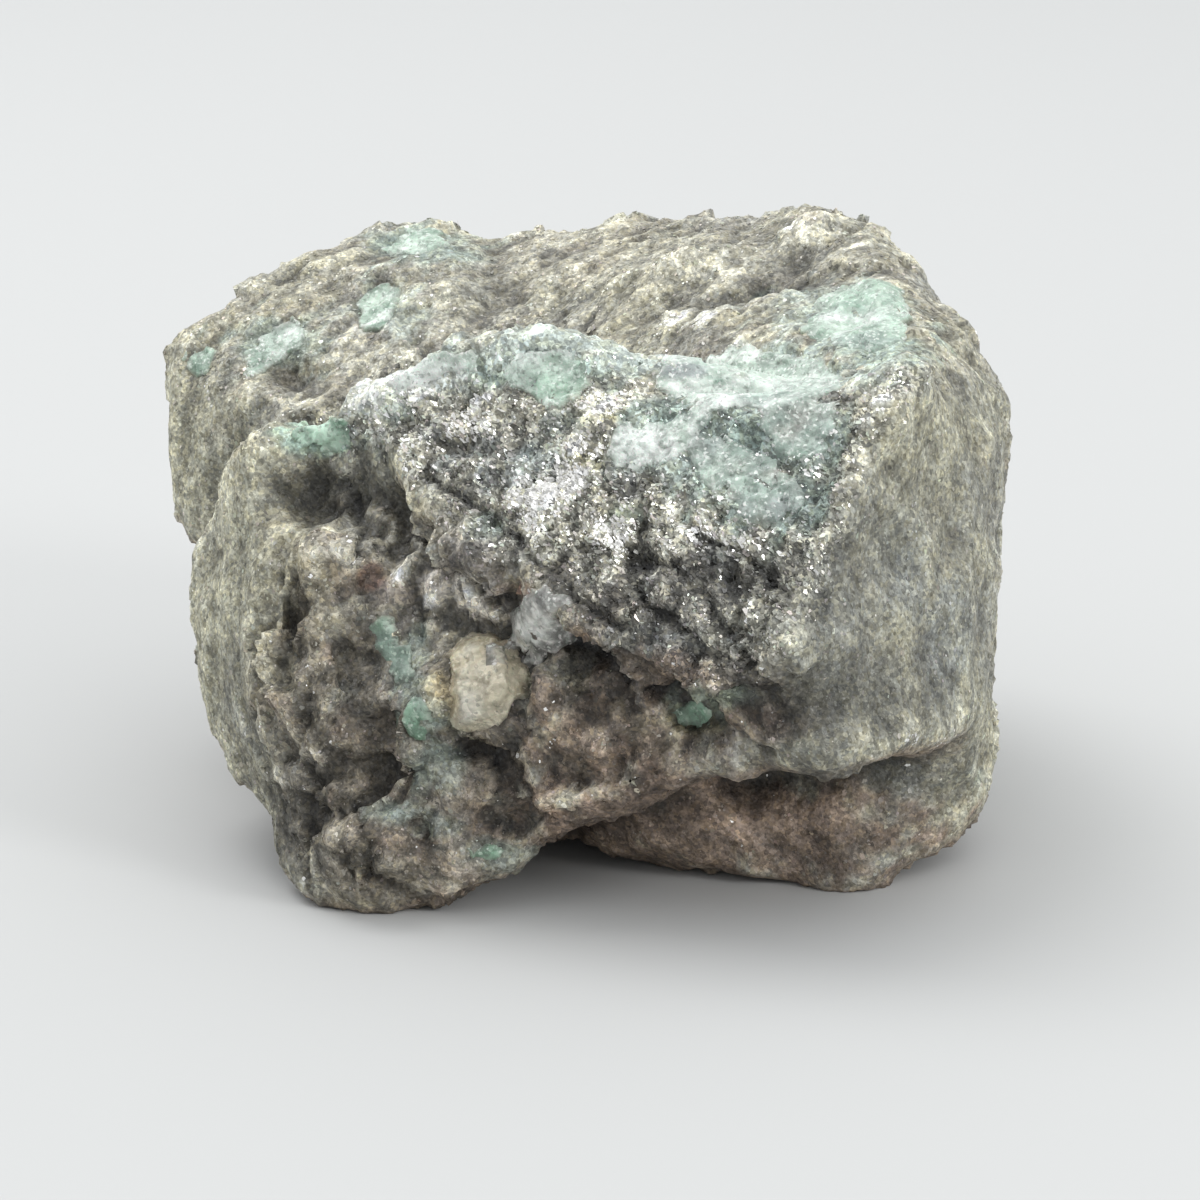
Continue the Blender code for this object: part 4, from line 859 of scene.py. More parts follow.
# White veils, green depths and stone that shows through the crystals, painted white sheen on the
# pan, painted highlights where flakes glint and painted shade in a dent, in the same form.
VEILS_AND_SHEEN = (
    (-11.3, -3.0, 1.1, 2.2, TEAL * 0.5, 0.7),
    (-9.4, -5.0, 1.0, 0.8, ICE * 0.8, 0.6),
    (-3.6, 12.2, 2.4, 1.5, ICE * 1.05, 0.8),
    (-5.6, 12.8, 1.6, 1.1, ICE * 1.25, 0.8),
    (-10.4, 12.4, 3.6, 1.4, ICE * 1.15, 0.8),
    (-12.2, 11.6, 2.8, 1.5, ICE * 1.2, 0.7),
    (-11.0, 12.3, 3.8, 0.9, MILK_AND_SHEEN * 0.95, 0.85),
    (-5.2, 13.7, 2.0, 0.8, MILK_AND_SHEEN * 0.95, 0.6),
    (4.0, 13.4, 2.6, 0.9, MILK_AND_SHEEN * 0.95, 0.6),
    # A streak of painted white sheen on the pan.
    (8.6, 10.9, 1.7, 0.7, MILK_AND_SHEEN, 0.9),
    # Greens, veils and stone of the crystals.
    (-3.0, 11.8, 1.5, 1.1, FRESH_GREEN, 0.9),
    (-15.4, 9.0, 2.4, 1.2, FRESH_GREEN * 1.2, 0.9),
    (8.6, 5.4, 3.2, 2.8, TEAL * 0.88, 0.80),
    (9.8, 5.0, 1.4, 0.7, ICE * 0.8, 0.7),
    (7.6, 6.4, 1.2, 0.6, SEA_GREEN * 1.2, 0.7),
    (10.4, 3.9, 0.8, 0.6, STONE_GREY, 0.8),
    (2.4, 8.4, 2.4, 1.4, MILK_AND_SHEEN, 0.85),
    # Painted highlights where flakes glint, then painted white sheen on the pan.
    (3.6, 15.6, 1.1, 0.8, PALE * 1.7, 0.98),
    (5.4, 15.9, 1.1, 0.8, PALE * 1.7, 0.98),
    (8.2, 11.6, 5.0, 1.5, MILK_AND_SHEEN * 0.9, 0.6),
    # Greens, veils and stone of the crystals.
    (6.0, 13.2, 1.4, 0.7, SEA_GREEN * 1.2, 0.5),
    (11.6, 11.2, 1.6, 0.8, SEA_GREEN * 1.2, 0.5),
    (-3.4, 13.8, 3.0, 0.6, MILK_AND_SHEEN * 0.85, 0.8),
    (0.4, 11.2, 1.2, 1.0, PALE, 0.7),
    (-1.0, 10.6, 0.7, 0.6, MILK_AND_SHEEN * 0.8, 0.6),
    (4.6, 12.6, 1.7, 0.5, BLUE_GREY * 1.35, 0.85),
    (6.4, 12.2, 0.7, 0.3, DEEP_GREEN * 2.2, 0.7),
    # Painted white sheen on the pan, in streaks.
    (5.2, 11.7, 1.9, 0.35, MILK_AND_SHEEN, 0.9),
    (8.2, 10.4, 2.0, 0.45, MILK_AND_SHEEN, 0.9),
    (7.4, 13.0, 1.2, 0.5, MILK_AND_SHEEN * 0.9, 0.6),
    (12.0, 12.2, 2.6, 0.5, MILK_AND_SHEEN * 0.85, 0.7),
    # Greens, veils and stone of the crystals, and painted shade in a dent.
    (8.8, 11.6, 0.8, 0.35, DEEP_GREEN * 1.6, 0.85),
    (10.0, 11.4, 0.7, 0.30, DEEP_GREEN * 1.6, 0.85),
    (7.7, 12.6, 0.4, 0.3, LEAF, 0.8),
    (10.0, 13.1, 1.1, 0.4, PALE * 0.9, 0.7),
    (4.2, 10.2, 1.4, 0.5, TEAL, 0.8),
    (6.6, 9.6, 1.0, 0.5, OLIVE * 0.8, 0.7),
    (6.3, 8.6, 1.4, 1.3, BLUE_GREY * 1.3, 0.75),
    (8.4, 8.3, 0.8, 0.7, PIT_DIRT_AND_SHADE, 0.85),
    (11.0, 9.6, 2.4, 1.9, TEAL * 0.85, 0.85),
    (11.4, 10.3, 1.2, 0.7, SLOPE_GREY, 0.6),
    (10.2, 9.2, 0.9, 0.6, SLOPE_GREY * 1.1, 0.6),
    (11.6, 8.1, 1.8, 0.4, DEEP_GREEN * 1.2, 0.8),
    (9.9, 7.2, 1.3, 0.8, STONE_GREY, 0.7),
    (2.0, 7.2, 1.2, 0.6, MILK_AND_SHEEN * 0.8, 0.7),
    (3.8, 9.2, 1.0, 0.7, MILK_AND_SHEEN * 0.75, 0.5),
    (6.8, 5.6, 0.6, 0.5, PALE, 0.7),
    (9.6, 4.6, 1.6, 1.0, BLUE_GREY * 1.6, 0.6),
    (14.4, 15.6, 2.4, 0.7, MILK_AND_SHEEN, 0.95),
    (12.6, 16.0, 0.8, 1.2, MILK_AND_SHEEN, 0.8),
    (16.2, 15.6, 1.1, 0.9, FRESH_GREEN * 0.9, 0.8),
    (14.2, 16.6, 1.3, 0.7, FRESH_GREEN * 0.85, 0.8),
    (14.4, 14.2, 2.8, 0.7, TEAL * 0.95, 0.85),
    (14.1, 16.2, 0.6, 0.4, DEEP_GREEN * 1.5, 0.85),
    (15.8, 16.6, 0.9, 0.5, DEEP_GREEN * 2.2, 0.7),
    (12.6, 14.9, 1.0, 0.4, MILK_AND_SHEEN, 0.8),
)
# Painted white highlights on the quartz, its cream veils and a darker patch, in the same form.
QUARTZ_VEILS_AND_HIGHLIGHTS = (
    (-3.1, 0.4, 1.8, 0.9, PALE_GREY * 0.42, 0.85),
    # Painted highlights on the grey quartz.
    (-3.4, -1.7, 1.3, 1.1, PALE_GREY * 1.4, 0.85),
    (-3.7, -2.1, 0.7, 0.7, MILK_AND_SHEEN, 0.85),
    # Cream veils of the yellow quartz.
    (-6.2, -4.8, 1.8, 2.2, CREAM * 0.9, 0.6),
    (-5.4, -3.0, 0.8, 0.8, CREAM * 0.7, 0.6),
    # A painted highlight on the yellow quartz.
    (-7.2, -5.8, 0.8, 1.0, PALE * 1.3, 0.7),
)
# Where mica and stone lie over the crystals of the slope: right, up, width and height.
OVERGROWN = (
    (3.4, 5.8, 1.8, 1.1),
    (13.8, 5.0, 1.4, 1.6),
    (7.4, 8.0, 1.5, 1.0),
    (9.7, 7.2, 1.5, 0.8),
    (12.6, 6.0, 1.3, 2.0),
    (5.6, 9.8, 1.0, 0.5),
    (8.0, 9.8, 0.9, 0.5),
    (11.6, 3.6, 1.5, 1.0),
    (0.6, 10.6, 1.6, 0.6),
)
print("patches of thin emerald:", len(GREENS), "veils:", len(VEILS_AND_SHEEN) + len(QUARTZ_VEILS_AND_HIGHLIGHTS))

# %% [markdown]
# Under its stains the stone is made of coarse grains. The small broken faces and the blocks of the
# relief are grains too, so each takes a colour of its own, from the same cells: shape and colour
# then break along the same lines, as in the real rock.

# %% The stone's colour
# The kinds of coarse grain in the low front, and in the slope.
FRONT_GRAINS = np.stack([
    BUFF * 1.1, STONE_GREY, MAUVE * 1.25, BLUE_GREY * 0.9, PINK_BROWN * 0.75, STONE_GREY * 0.4,
    STONE_GREY * 0.8, PALE * 0.85, BROWN * 0.8,
])
SLOPE_GRAINS = np.stack([
    SLOPE_GREY * 1.3, SLOPE_GREY * 1.1, SLOPE_GREY, SLOPE_GREY * 0.45, BLUE_GREY * 1.3,
    SLOPE_GREY * 0.6, PALE * 0.9, SLOPE_GREY * 0.8,
])
# How strongly each layer of colour covers the one before: slope, blocks, small faces, the
# underside's brown, which is painted shade; and the small faces of the front, everywhere and on
# lumps.
SLOPE_COVER, BLOCK_COVER, FACE_COVER, UNDERSIDE_SHADE_COVER = 0.85, 0.8, 0.6, 0.8
FRONT_FACES, LUMP_FACES = 0.12, 0.2
# Sizes of the clouds and of the two kinds of streak, how much streaks are squeezed, and how much
# they lighten and darken, everywhere and on rough places.
CLOUD, STREAK, FINE_STREAK = 4.5 * MM, 2.6 * MM, 1.2 * MM
STREAK_SQUEEZE, FINE_SQUEEZE = 4.0, 3.0
STREAK_SWING, ROUGH_SWING = 0.28, 0.26
# A stain is dark on dark grains and light on light ones, by their share of the mean colour.
SHOWS_LEAST, SHOWS_MOST, SHOWS_POWER = 0.4, 2.0, 0.9
# Dirt and painted shade darken fine and wide hollows, and rubbing lightens fine and wide edges.
FINE_DIRT_AND_SHADE, WIDE_DIRT_AND_SHADE, FINE_RUB, WIDE_RUB = 0.50, 0.30, 0.40, 0.15
# Painted shade in the cracks, and a painted highlight on their upper lips.
CRACK_SHADE, LIP_HIGHLIGHT = 0.70, 0.30
DARKEST, PALEST = 0.01, 0.85
# The least glitter of the finish, how much thin emerald dulls it, and how coarse lumps look.
LEAST_GLITTER, GREEN_DULLS, LUMPS_COARSE = 0.15, 0.75, 1.5


def coarse_grains(kinds, wide, thin, seed):
    """The colour of the coarse grain at each corner: its cell takes one of the kinds, and a
    brightness from 0.7 to 1.3."""
    _, cell = nearest_seed(in_layers(plain_corners, wide / thin), wide, seed)
    kind = (random_at(cell, 90) * len(kinds)).astype(int)
    return kinds[kind] * (0.7 + 0.6 * random_at(cell, 91))[:, None]


def covered(colour, layer, share):
    """A colour with another laid over it by a share: colour + (layer - colour) * share."""
    return colour + (layer - colour) * np.reshape(share, (-1, 1))


def bare_stone_colour():
    """The stone without its emerald: buff and grey in clouds and streaks, coarse grains, dirt and
    painted shade in its hollows, painted shade in its cracks and a painted highlight on their lips,
    rubbed edges, a brown underside that is painted shade, and the stains, with painted shade and
    highlights among them, which the grains show through."""
    colour = covered(STONE_GREY, BUFF, smooth(-0.4, 0.4, noise(plain_corners, CLOUD, 61)))
    colour = covered(colour, SLOPE_GREY, broken * SLOPE_COVER)
    blocks = coarse_grains(FRONT_GRAINS, BLOCK_WIDE, BLOCK_THIN, BLOCK_SEED)
    colour = covered(colour, blocks, BLOCK_COVER * lumpy)
    small = coarse_grains(FRONT_GRAINS, FACE_WIDE, FACE_THIN, FACE_SEED)
    colour = covered(colour, small, FRONT_FACES + LUMP_FACES * lumpy)
    small = coarse_grains(SLOPE_GRAINS, FACE_WIDE, FACE_THIN, FACE_SEED)
    colour = covered(colour, small, FACE_COVER * broken)
    streak = noise(in_layers(plain_corners, STREAK_SQUEEZE), STREAK, 67)
    streak += 0.8 * noise(in_layers(plain_corners, FINE_SQUEEZE), FINE_STREAK, 69)
    swing = STREAK_SWING + ROUGH_SWING * np.maximum(broken, lumpy)
    colour *= 1 + (swing * np.clip(streak, -1, 1))[:, None]
    # The underside, where it faces down, is painted brown as shade.
    colour = covered(colour, BROWN, UNDERSIDE_SHADE_COVER * smooth(0.15, 0.8, -soft_normals[:, 2]))
    local = np.clip(colour.mean(1, keepdims=True) / colour.mean(), SHOWS_LEAST, SHOWS_MOST)
    local = local**SHOWS_POWER
    for *place, tint, cover in STAINS_AND_PAINTED_LIGHT:
        colour = covered(colour, tint * local, cover * share_at(*place))
    # Dirt and painted shade darken the hollows.
    dirt_and_shade = FINE_DIRT_AND_SHADE * np.clip(fine_hollow, 0, 1) + WIDE_DIRT_AND_SHADE * smooth(0.25, 1.0, wide_hollow)
    rubbed = FINE_RUB * np.clip(-fine_hollow, 0, 1) + WIDE_RUB * smooth(0.3, 1.0, -wide_hollow)
    # Painted shade in the cracks and a painted highlight on their lips; rubbing lightens the edges.
    shade = (1 - dirt_and_shade + rubbed) * (1 - CRACK_SHADE * crack) * (1 + LIP_HIGHLIGHT * crack_lip)
    return colour * WARMTH * (1 + LUMPS_WARMER * (lumpy * seen)[:, None]) * shade[:, None]


def cover_of(table, ground=SEA_GREEN):
    """The colour of a table's patches and how much of it covers the skin at every corner. The
    patches fade into the ground colour."""
    colour, cover = np.zeros_like(skin_corners) + ground, np.zeros(len(skin_corners))
    for *place, tint, strength in table:
        share = strength * share_at(*place)
        colour = covered(colour, tint, share)
        cover = np.maximum(cover, share)
    return colour, cover


def put_colour(ob, name, colours):
    """Stores one colour a corner in the mesh, for the material to read."""
    layer = ob.data.color_attributes.new(name, "FLOAT_COLOR", "POINT")
    four = np.concatenate([colours, np.ones((len(colours), 1))], 1)
    layer.data.foreach_set("color", four.astype(np.float32).ravel())


def put_share(ob, name, shares):
    """Stores one number a corner, as a grey."""
    put_colour(ob, name, np.repeat(shares[:, None], 3, 1))


green_tint, green = cover_of(GREENS)
stone_tint = np.clip(covered(bare_stone_colour(), green_tint, green), DARKEST, PALEST)
put_colour(stone, "tint", stone_tint)
glitter = (LEAST_GLITTER + (1 - LEAST_GLITTER) * broken) * (1 - GREEN_DULLS * green)
put_share(stone, "glitter", glitter)
put_share(stone, "coarse", np.clip(np.maximum(broken, LUMPS_COARSE * lumpy * seen), 0, 1))
print("stone colour, mean:", stone_tint.mean(0).round(3))

# %% [markdown]
# Mica is what makes schist glitter: thin flakes, silvery or nearly black, that lie along the
# layers. A particle system could strew copies of one flake, but here each has a shape, a tilt and
# a colour of its own. It is a flat five-sided face with a point under it, sunk in the stone like
# a tooth, eight triangles in all, so tens of thousands can be worked out as one array.

# %% Flakes as arrays
FLAKE_SIDES = 5
LARGEST = 0.15 * MM
POINT_DEPTH = 0.40 * MM
LAID_IN_LAYERS = 0.7
ALONG_PULL, TRACE_SCATTER = 1.3, 0.3
ANGLE_UNEVEN, REACH_UNEVEN = 0.35, (0.7, 1.2)
# On the flat map: how far the face and the folded walls reach in the flake's square.
MAP_FACE, MAP_STAR = 0.25, 0.46


def spread_over(count, density, values):
    """Random places on the skin: triangles are drawn by area times density, and a place in one
    is a random mix of its corners. Gives the places, their normals and the same mix of values."""
    a, b, c = (skin_corners[skin_triangles[:, i]] for i in range(3))
    area = np.linalg.norm(np.cross(b - a, c - a), axis=1)
    weight = area * density[skin_triangles].mean(1)
    pick = rng.choice(len(weight), count, p=weight / weight.sum())
    table = np.concatenate([skin_corners, skin_normals, values], 1)
    shares = random_shares(count)
    blend = sum(share * table[skin_triangles[pick, k]] for k, share in enumerate(shares))
    return blend[:, :3], unit(blend[:, 3:6]), blend[:, 6:]


def flake_facing(normals, scatter, slope):
    """The way each flake faces: along the layers' normal where the skin lies along them, along
    the skin's own normal elsewhere, turned at random by the scatter."""
    laid = LAID_IN_LAYERS * slope[:, None]
    facing = normals * (1 - laid) + ACROSS_LAYERS * laid
    return unit(facing + rng.normal(0, 1, facing.shape) * scatter[:, None])


def flakes(at, normals, facing, size, long, lift, slope):
    """Corners, triangles and the flat map of many flakes.

    Corner k of a face lies at the angle 72 k degrees, uneven by up to 20, at the distance size
    times long along the flake's run and size across it, in the plane that faces as given. The run
    is the trace of the layers, and on the slope the grain's run. The sixth corner lies straight
    under the middle. The face is a fan of three triangles, and five more close it down to the
    point. On the map every flake has a square of its own."""
    count = len(at)
    share = slope[:, None]
    run = unit(np.cross(facing, ACROSS_LAYERS)) * (1 - share) + ALONG_PULL * ALONG * share
    trace = unit(run + rng.normal(0, TRACE_SCATTER, at.shape))
    side = unit(np.cross(facing, trace))
    trace = np.cross(side, facing)
    uneven = rng.uniform(-ANGLE_UNEVEN, ANGLE_UNEVEN, (count, FLAKE_SIDES))
    angle = 2 * np.pi * np.arange(FLAKE_SIDES) / FLAKE_SIDES + uneven
    reach = size[:, None] * rng.uniform(*REACH_UNEVEN, (count, FLAKE_SIDES))
    u, v = np.cos(angle) * reach * long[:, None], np.sin(angle) * reach
    middle = at + normals * lift[:, None]
    top = middle[:, None] + u[..., None] * trace[:, None] + v[..., None] * side[:, None]
    tip = middle - normals * POINT_DEPTH
    corners = np.concatenate([top, tip[:, None]], 1)
    k = np.arange(FLAKE_SIDES)
    fan = np.stack([np.zeros(FLAKE_SIDES - 2, int), k[1:-1], k[2:]], 1)
    walls = np.stack([(k + 1) % FLAKE_SIDES, k, np.full(FLAKE_SIDES, FLAKE_SIDES)], 1)
    pattern = np.concatenate([fan, walls])
    triangles = pattern[None] + (np.arange(count) * (FLAKE_SIDES + 1))[:, None, None]
    return corners.reshape(-1, 3), triangles.reshape(-1, 3), flake_map(count, pattern)


def flake_map(count, pattern):
    """Where each triangle lies in the flat map: every flake has its own square of a grid, with
    the face in the middle and the walls folded out round it like a star."""
    grid = math.ceil(math.sqrt(count))
    turn = 2 * np.pi * np.arange(FLAKE_SIDES) / FLAKE_SIDES
    half_turn = turn + np.pi / FLAKE_SIDES
    face = 0.5 + MAP_FACE * np.stack([np.cos(turn), np.sin(turn)], 1)
    star = 0.5 + MAP_STAR * np.stack([np.cos(half_turn), np.sin(half_turn)], 1)
    spots = face[np.minimum(pattern, FLAKE_SIDES - 1)]
    spots[FLAKE_SIDES - 2 :, 2] = star
    corner = np.stack([np.arange(count) % grid, np.arange(count) // grid], 1)
    return (corner[:, None, None] + spots[None]).reshape(-1, 2) / grid


print("triangles a flake:", 2 * FLAKE_SIDES - 2)

# %% [markdown]
# Flakes lie thickest on the front slope, thickest of all in a few glittering nests, and are rare
# and small on the worn sides and the underside. On a crystal they thin out from its edge to its
# middle, so that the edge isn't a line. The flats that the stone rests on have none. A density for
# each corner of the skin says all of this, where a painted weight map would need a brush.

# %% Where the flakes lie
ABOVE_FLOOR = 0.6 * MM
# How dense the flakes are everywhere, on lumps, on the slope, more or less where it glitters, and
# in the nests or in the dark band.
SILVER_BASE, SILVER_LUMPS, SILVER_SLOPE, SILVER_GLITTER, SILVER_NESTS = 0.10, 0.15, 0.35, 0.55, 2.4
DARK_BASE, DARK_LUMPS, DARK_SLOPE, DARK_GLITTER, DARK_IN_BAND = 0.12, 0.22, 1.3, -0.9, 1.2
# The share of the flakes that is missing on crystals, thin emerald, the underside, in hollows and
# in cracks; and of the silvery ones in the dark band, and of the dark and the grains in nests.
CRYSTAL_BARE, GREEN_BARE, UNDER_BARE, HOLLOW_BARE, CRACK_BARE = 0.85, 0.75, 0.85, 0.8, 0.8
BAND_BARE, NEST_BARE, NEST_FEWER_GRAINS = 0.7, 0.9, 0.5
# How much less a crystal is bare where mica has grown over it, and on the mottled crystal.
OVERGROWN_LESS, MOTTLED_LESS = 0.9, 0.35
# The share of white flakes among the silvery, everywhere, on the glittering slope and in nests,
# and how much of it the dark band takes away.
WHITE_BASE, WHITE_SLOPE, WHITE_NESTS, BAND_NOT_WHITE = 0.02, 0.14, 0.88, 0.8
# Glittering nests: right, up and radius in millimetres, and how strong.
NESTS = (
    (-3.9, 5.4, 1.4, 1.0),
    (-1.9, 6.5, 1.3, 1.0),
    (0.9, 3.7, 1.2, 1.0),
    (-0.6, 8.4, 0.8, 0.8),
    (3.6, 15.6, 0.9, 1.0),
    (5.4, 15.9, 0.9, 1.0),
    (3.8, 13.6, 0.8, 0.7),
    (-12.0, 11.6, 2.4, 0.35),
    (7.6, 14.3, 0.5, 0.7),
    (5.4, 3.6, 0.9, 0.6),
    (8.0, 3.4, 0.9, 0.6),
    (12.0, 8.2, 1.0, 0.4),
    (17.2, -7.8, 0.7, 0.6),
    (19.2, -8.2, 0.8, 0.6),
    (-2.6, -7.9, 0.25, 0.8),
    (-16.2, -0.6, 0.22, 0.8),
    (-14.6, -8.0, 0.22, 0.8),
    (-7.2, 9.8, 1.0, 0.6),
)
# The band of dark mica under the glitter: right, up, width and height.
DARK_BAND = ((2.4, 2.2, 1.1, 1.5), (5.0, 1.2, 2.0, 1.1), (7.4, 1.6, 1.3, 0.8), (0.3, -0.3, 1.6, 1.2))
# The large crystal of the slope, which has more flakes on it than the others.
MOTTLED = (9.2, 7.4, 5.2, 4.4)


def raggedness(points):
    """How far noise moves the edge of a crystal in or out."""
    layered = in_layers(points, 1.6)
    return 0.60 * MM * noise(layered, 1.8 * MM, 71) + 0.30 * MM * noise(layered, 0.7 * MM, 73)


overgrown, dark_band = strongest(OVERGROWN), strongest(DARK_BAND)
strengths = [power * share_at(right, up, size, size) for right, up, size, power in NESTS]
nests = np.max(strengths, axis=0)
core = smooth(-0.3 * MM, 1.2 * MM, any_inside + 1.4 * raggedness(plain_corners))
core *= (1 - OVERGROWN_LESS * overgrown) * (1 - MOTTLED_LESS * share_at(*MOTTLED))
under = smooth(0.3, 0.8, -soft_normals[:, 2])
off_floor = skin_corners[:, 2] > ABOVE_FLOOR
common = (1 - CRYSTAL_BARE * core) * (1 - GREEN_BARE * green) * (1 - UNDER_BARE * under) * off_floor
patchy = smooth(-0.35, 0.45, noise(skin_corners, 1.3 * MM, 79))
clean = 1 - HOLLOW_BARE * np.clip(fine_hollow, 0, 1)
whiteness = WHITE_BASE + WHITE_SLOPE * broken * glittery * patchy
whiteness = whiteness * (1 - BAND_NOT_WHITE * dark_band) + WHITE_NESTS * nests

silver_spread = SILVER_BASE + SILVER_LUMPS * lumpy + broken * (SILVER_SLOPE + SILVER_GLITTER * glittery)
silver_spread = common * (silver_spread + SILVER_NESTS * nests)
silver_spread *= clean * (1 - BAND_BARE * dark_band) * (1 - CRACK_BARE * crack)
dark_spread = DARK_BASE + DARK_LUMPS * lumpy + broken * (DARK_SLOPE + DARK_GLITTER * patchy * glittery)
dark_spread = common * (dark_spread + DARK_IN_BAND * dark_band) * (1 - NEST_BARE * nests)
grain_spread = common * (1.0 - NEST_FEWER_GRAINS * nests)
print("silver and dark spread, means:", silver_spread.mean().round(3), dark_spread.mean().round(3))

# %% [markdown]
# Silvery muscovite, dark biotite and sugary grains of feldspar differ in size, in how they lie and
# in colour. The numbers of each kind stand in a table, and its colours come from a function, which
# starts from the stone's own colour at the place, so that no flake looks strewn on.

# %% The three kinds of flake
FLAKES = 24000
# For each kind: the usual size, how much sizes vary, and how much larger flakes are on the slope
# and in nests; the most that the length goes beyond the width, and more on the slope; how high a
# flake lies, in millimetres; how far it leans, at least and by chance, and the share of the lean
# that only the slope gives.
MICA_SILVER = {
    "size": 0.060 * MM, "vary": 0.40, "slope_size": 0.25, "nest_size": 0.60, "long": 0.4,
    "slope_long": 0.9, "lift": (-0.01, 0.02), "lean": (0.10, 0.14), "slope_lean": 0.5,
}
MICA_DARK = {
    "size": 0.060 * MM, "vary": 0.40, "slope_size": 0.35, "nest_size": 0.0, "long": 0.4,
    "slope_long": 1.0, "lift": (-0.02, 0.02), "lean": (0.10, 0.14), "slope_lean": 0.5,
}
SCHIST_GRAINS = {
    "size": 0.080 * MM, "vary": 0.35, "slope_size": 0.0, "nest_size": 0.0, "long": 0.5,
    "slope_long": 0.0, "lift": (-0.02, 0.01), "lean": (0.05, 0.06), "slope_lean": 0.0,
}
SILVER = np.array([1.0, 0.99, 0.96])
HUE_VARIES = 0.06


def flake_form(kind, slope, white):
    """Size, length, lift and lean of each flake: sizes are the usual one times e to a bell curve,
    and larger on the slope and where flakes are white; lengths and leans are even random numbers
    that grow on the slope, and lifts are even everywhere."""
    count = len(slope)
    size = kind["size"] * np.exp(rng.normal(0.0, kind["vary"], count))
    size *= 1 + kind["slope_size"] * slope + kind["nest_size"] * white
    long = 1 + rng.random(count) * (kind["long"] + kind["slope_long"] * slope)
    lift = rng.uniform(*kind["lift"], count) * MM
    least, random_lean = kind["lean"]
    lean = least + random_lean * rng.random(count)
    lean *= 1 - kind["slope_lean"] + kind["slope_lean"] * slope
    return np.minimum(size, LARGEST), long, lift, lean


def uneven_colour(tint, level, vary):
    """Colours times e to a bell curve round the level, one number a flake."""
    return tint * np.exp(rng.normal(level, vary, (len(tint), 1)))


def uneven_hue(colours):
    """Colours whose red, green and blue each go up or down a little."""
    return colours * (1 + rng.uniform(-HUE_VARIES, HUE_VARIES, colours.shape))


def silver_look(tint, slope, white):
    """Silvery flakes, smooth and brighter than the stone, and some of them white."""
    greyed = 0.6 * tint + 0.4 * tint.mean(1, keepdims=True)
    colours = uneven_hue(uneven_colour(greyed, 0.28, 0.30))
    silvery = SILVER * rng.uniform(0.65, 1.0, (len(tint), 1))
    chosen = rng.random(len(tint)) < white
    colours = np.where(chosen[:, None], silvery, colours)
    return colours, rng.uniform(0.14, 0.36, len(tint)) + 0.22 * (1 - slope)


def dark_look(tint, slope, white):
    """Dark flakes, nearly black on the slope, with a hard shine."""
    colours = uneven_colour(tint, -0.35, 0.25) * np.exp(-0.50 * slope)[:, None]
    return colours, rng.uniform(0.25, 0.5, len(tint))


def grain_look(tint, slope, white):
    """Grains between the mica, in the stone's own colour."""
    colours = uneven_hue(uneven_colour(tint, 0.0, 0.30))
    return np.clip(colours, 0, PALEST), rng.uniform(0.35, 0.65, len(tint))


def flake_piece(name, density, kind, look):
    """One object of joined flakes, with the form of their kind and the colours of their look."""
    values = np.concatenate([stone_tint, np.stack([broken, whiteness], 1)], 1)
    at, normals, there = spread_over(FLAKES, density, values)
    tint, slope, white = there[:, :3], there[:, 3], there[:, 4]
    size, long, lift, lean = flake_form(kind, slope, white)
    colours, gloss = look(tint, slope, white)
    facing = flake_facing(normals, lean, slope)
    corners, triangles, flat_map = flakes(at, normals, facing, size, long, lift, slope)
    ob = mesh_object(name, corners, triangles, flat=True)
    put_colour(ob, "tint", np.repeat(np.clip(colours, 0, 1), FLAKE_SIDES + 1, 0))
    put_share(ob, "gloss", np.repeat(gloss, FLAKE_SIDES + 1))
    map_layer = ob.data.uv_layers.new(name="OFBake")
    map_layer.uv.foreach_set("vector", flat_map.astype(np.float32).ravel())
    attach(ob, "root")
    print(name, FLAKES, "flakes,", len(triangles), "triangles")
    return ob


silver = flake_piece("mica_silver", silver_spread, MICA_SILVER, silver_look)
dark = flake_piece("mica_dark", dark_spread, MICA_DARK, dark_look)
grains = flake_piece("schist_grains", grain_spread, SCHIST_GRAINS, grain_look)

# %% [markdown]
# A crystal's own piece is the skin over its solid, made finer, level with the stone inside the
# outline and dipped under it outside. So the two meet in a ragged line without a gap, which two
# separate shapes wouldn't. A copy turned inwards closes the piece underneath.

# %% Sheets made bodies
SHELL = 0.5 * MM
CHIP_SIZE, CHIP_TILT, CHIP_RISE = 1.5 * MM, 0.16, 0.05 * MM
WAVE_SIZE, WAVE_RISE = 0.9 * MM, 0.03 * MM


def sides_of(triangles):
    """The three sides of every triangle, as pairs of corners."""
    return np.concatenate([triangles[:, [0, 1]], triangles[:, [1, 2]], triangles[:, [2, 0]]])


def finer(corners, triangles, values):
    """Each triangle cut in four at the middles of its edges, with the values at the middles."""
    edges, where = np.unique(np.sort(sides_of(triangles), 1), axis=0, return_inverse=True)
    ab, bc, ca = np.split(where.reshape(-1) + len(corners), 3)
    a, b, c = triangles.T
    parts = ((a, ab, ca), (ab, b, bc), (ca, bc, c), (ab, bc, ca))
    cut = np.concatenate([np.stack(part, 1) for part in parts])
    corners = np.concatenate([corners, corners[edges].mean(1)])
    return corners, cut, np.concatenate([values, values[edges].mean(1)])


def closed_under(top, normals, triangles, thickness):
    """A sheet made a body: the sheet, a copy further in and turned over, and walls between them
    along the edges that only one triangle has."""
    count = len(top)
    edges = sides_of(triangles)
    _, where, times = np.unique(np.sort(edges, 1), axis=0, return_inverse=True, return_counts=True)
    a, b = edges[times[where.reshape(-1)] == 1].T
    upper, lower = np.stack([b, a, a + count], 1), np.stack([b, a + count, b + count], 1)
    under = triangles[:, ::-1] + count
    corners = np.concatenate([top, top - normals * thickness])
    return corners, np.concatenate([triangles, under, upper, lower])


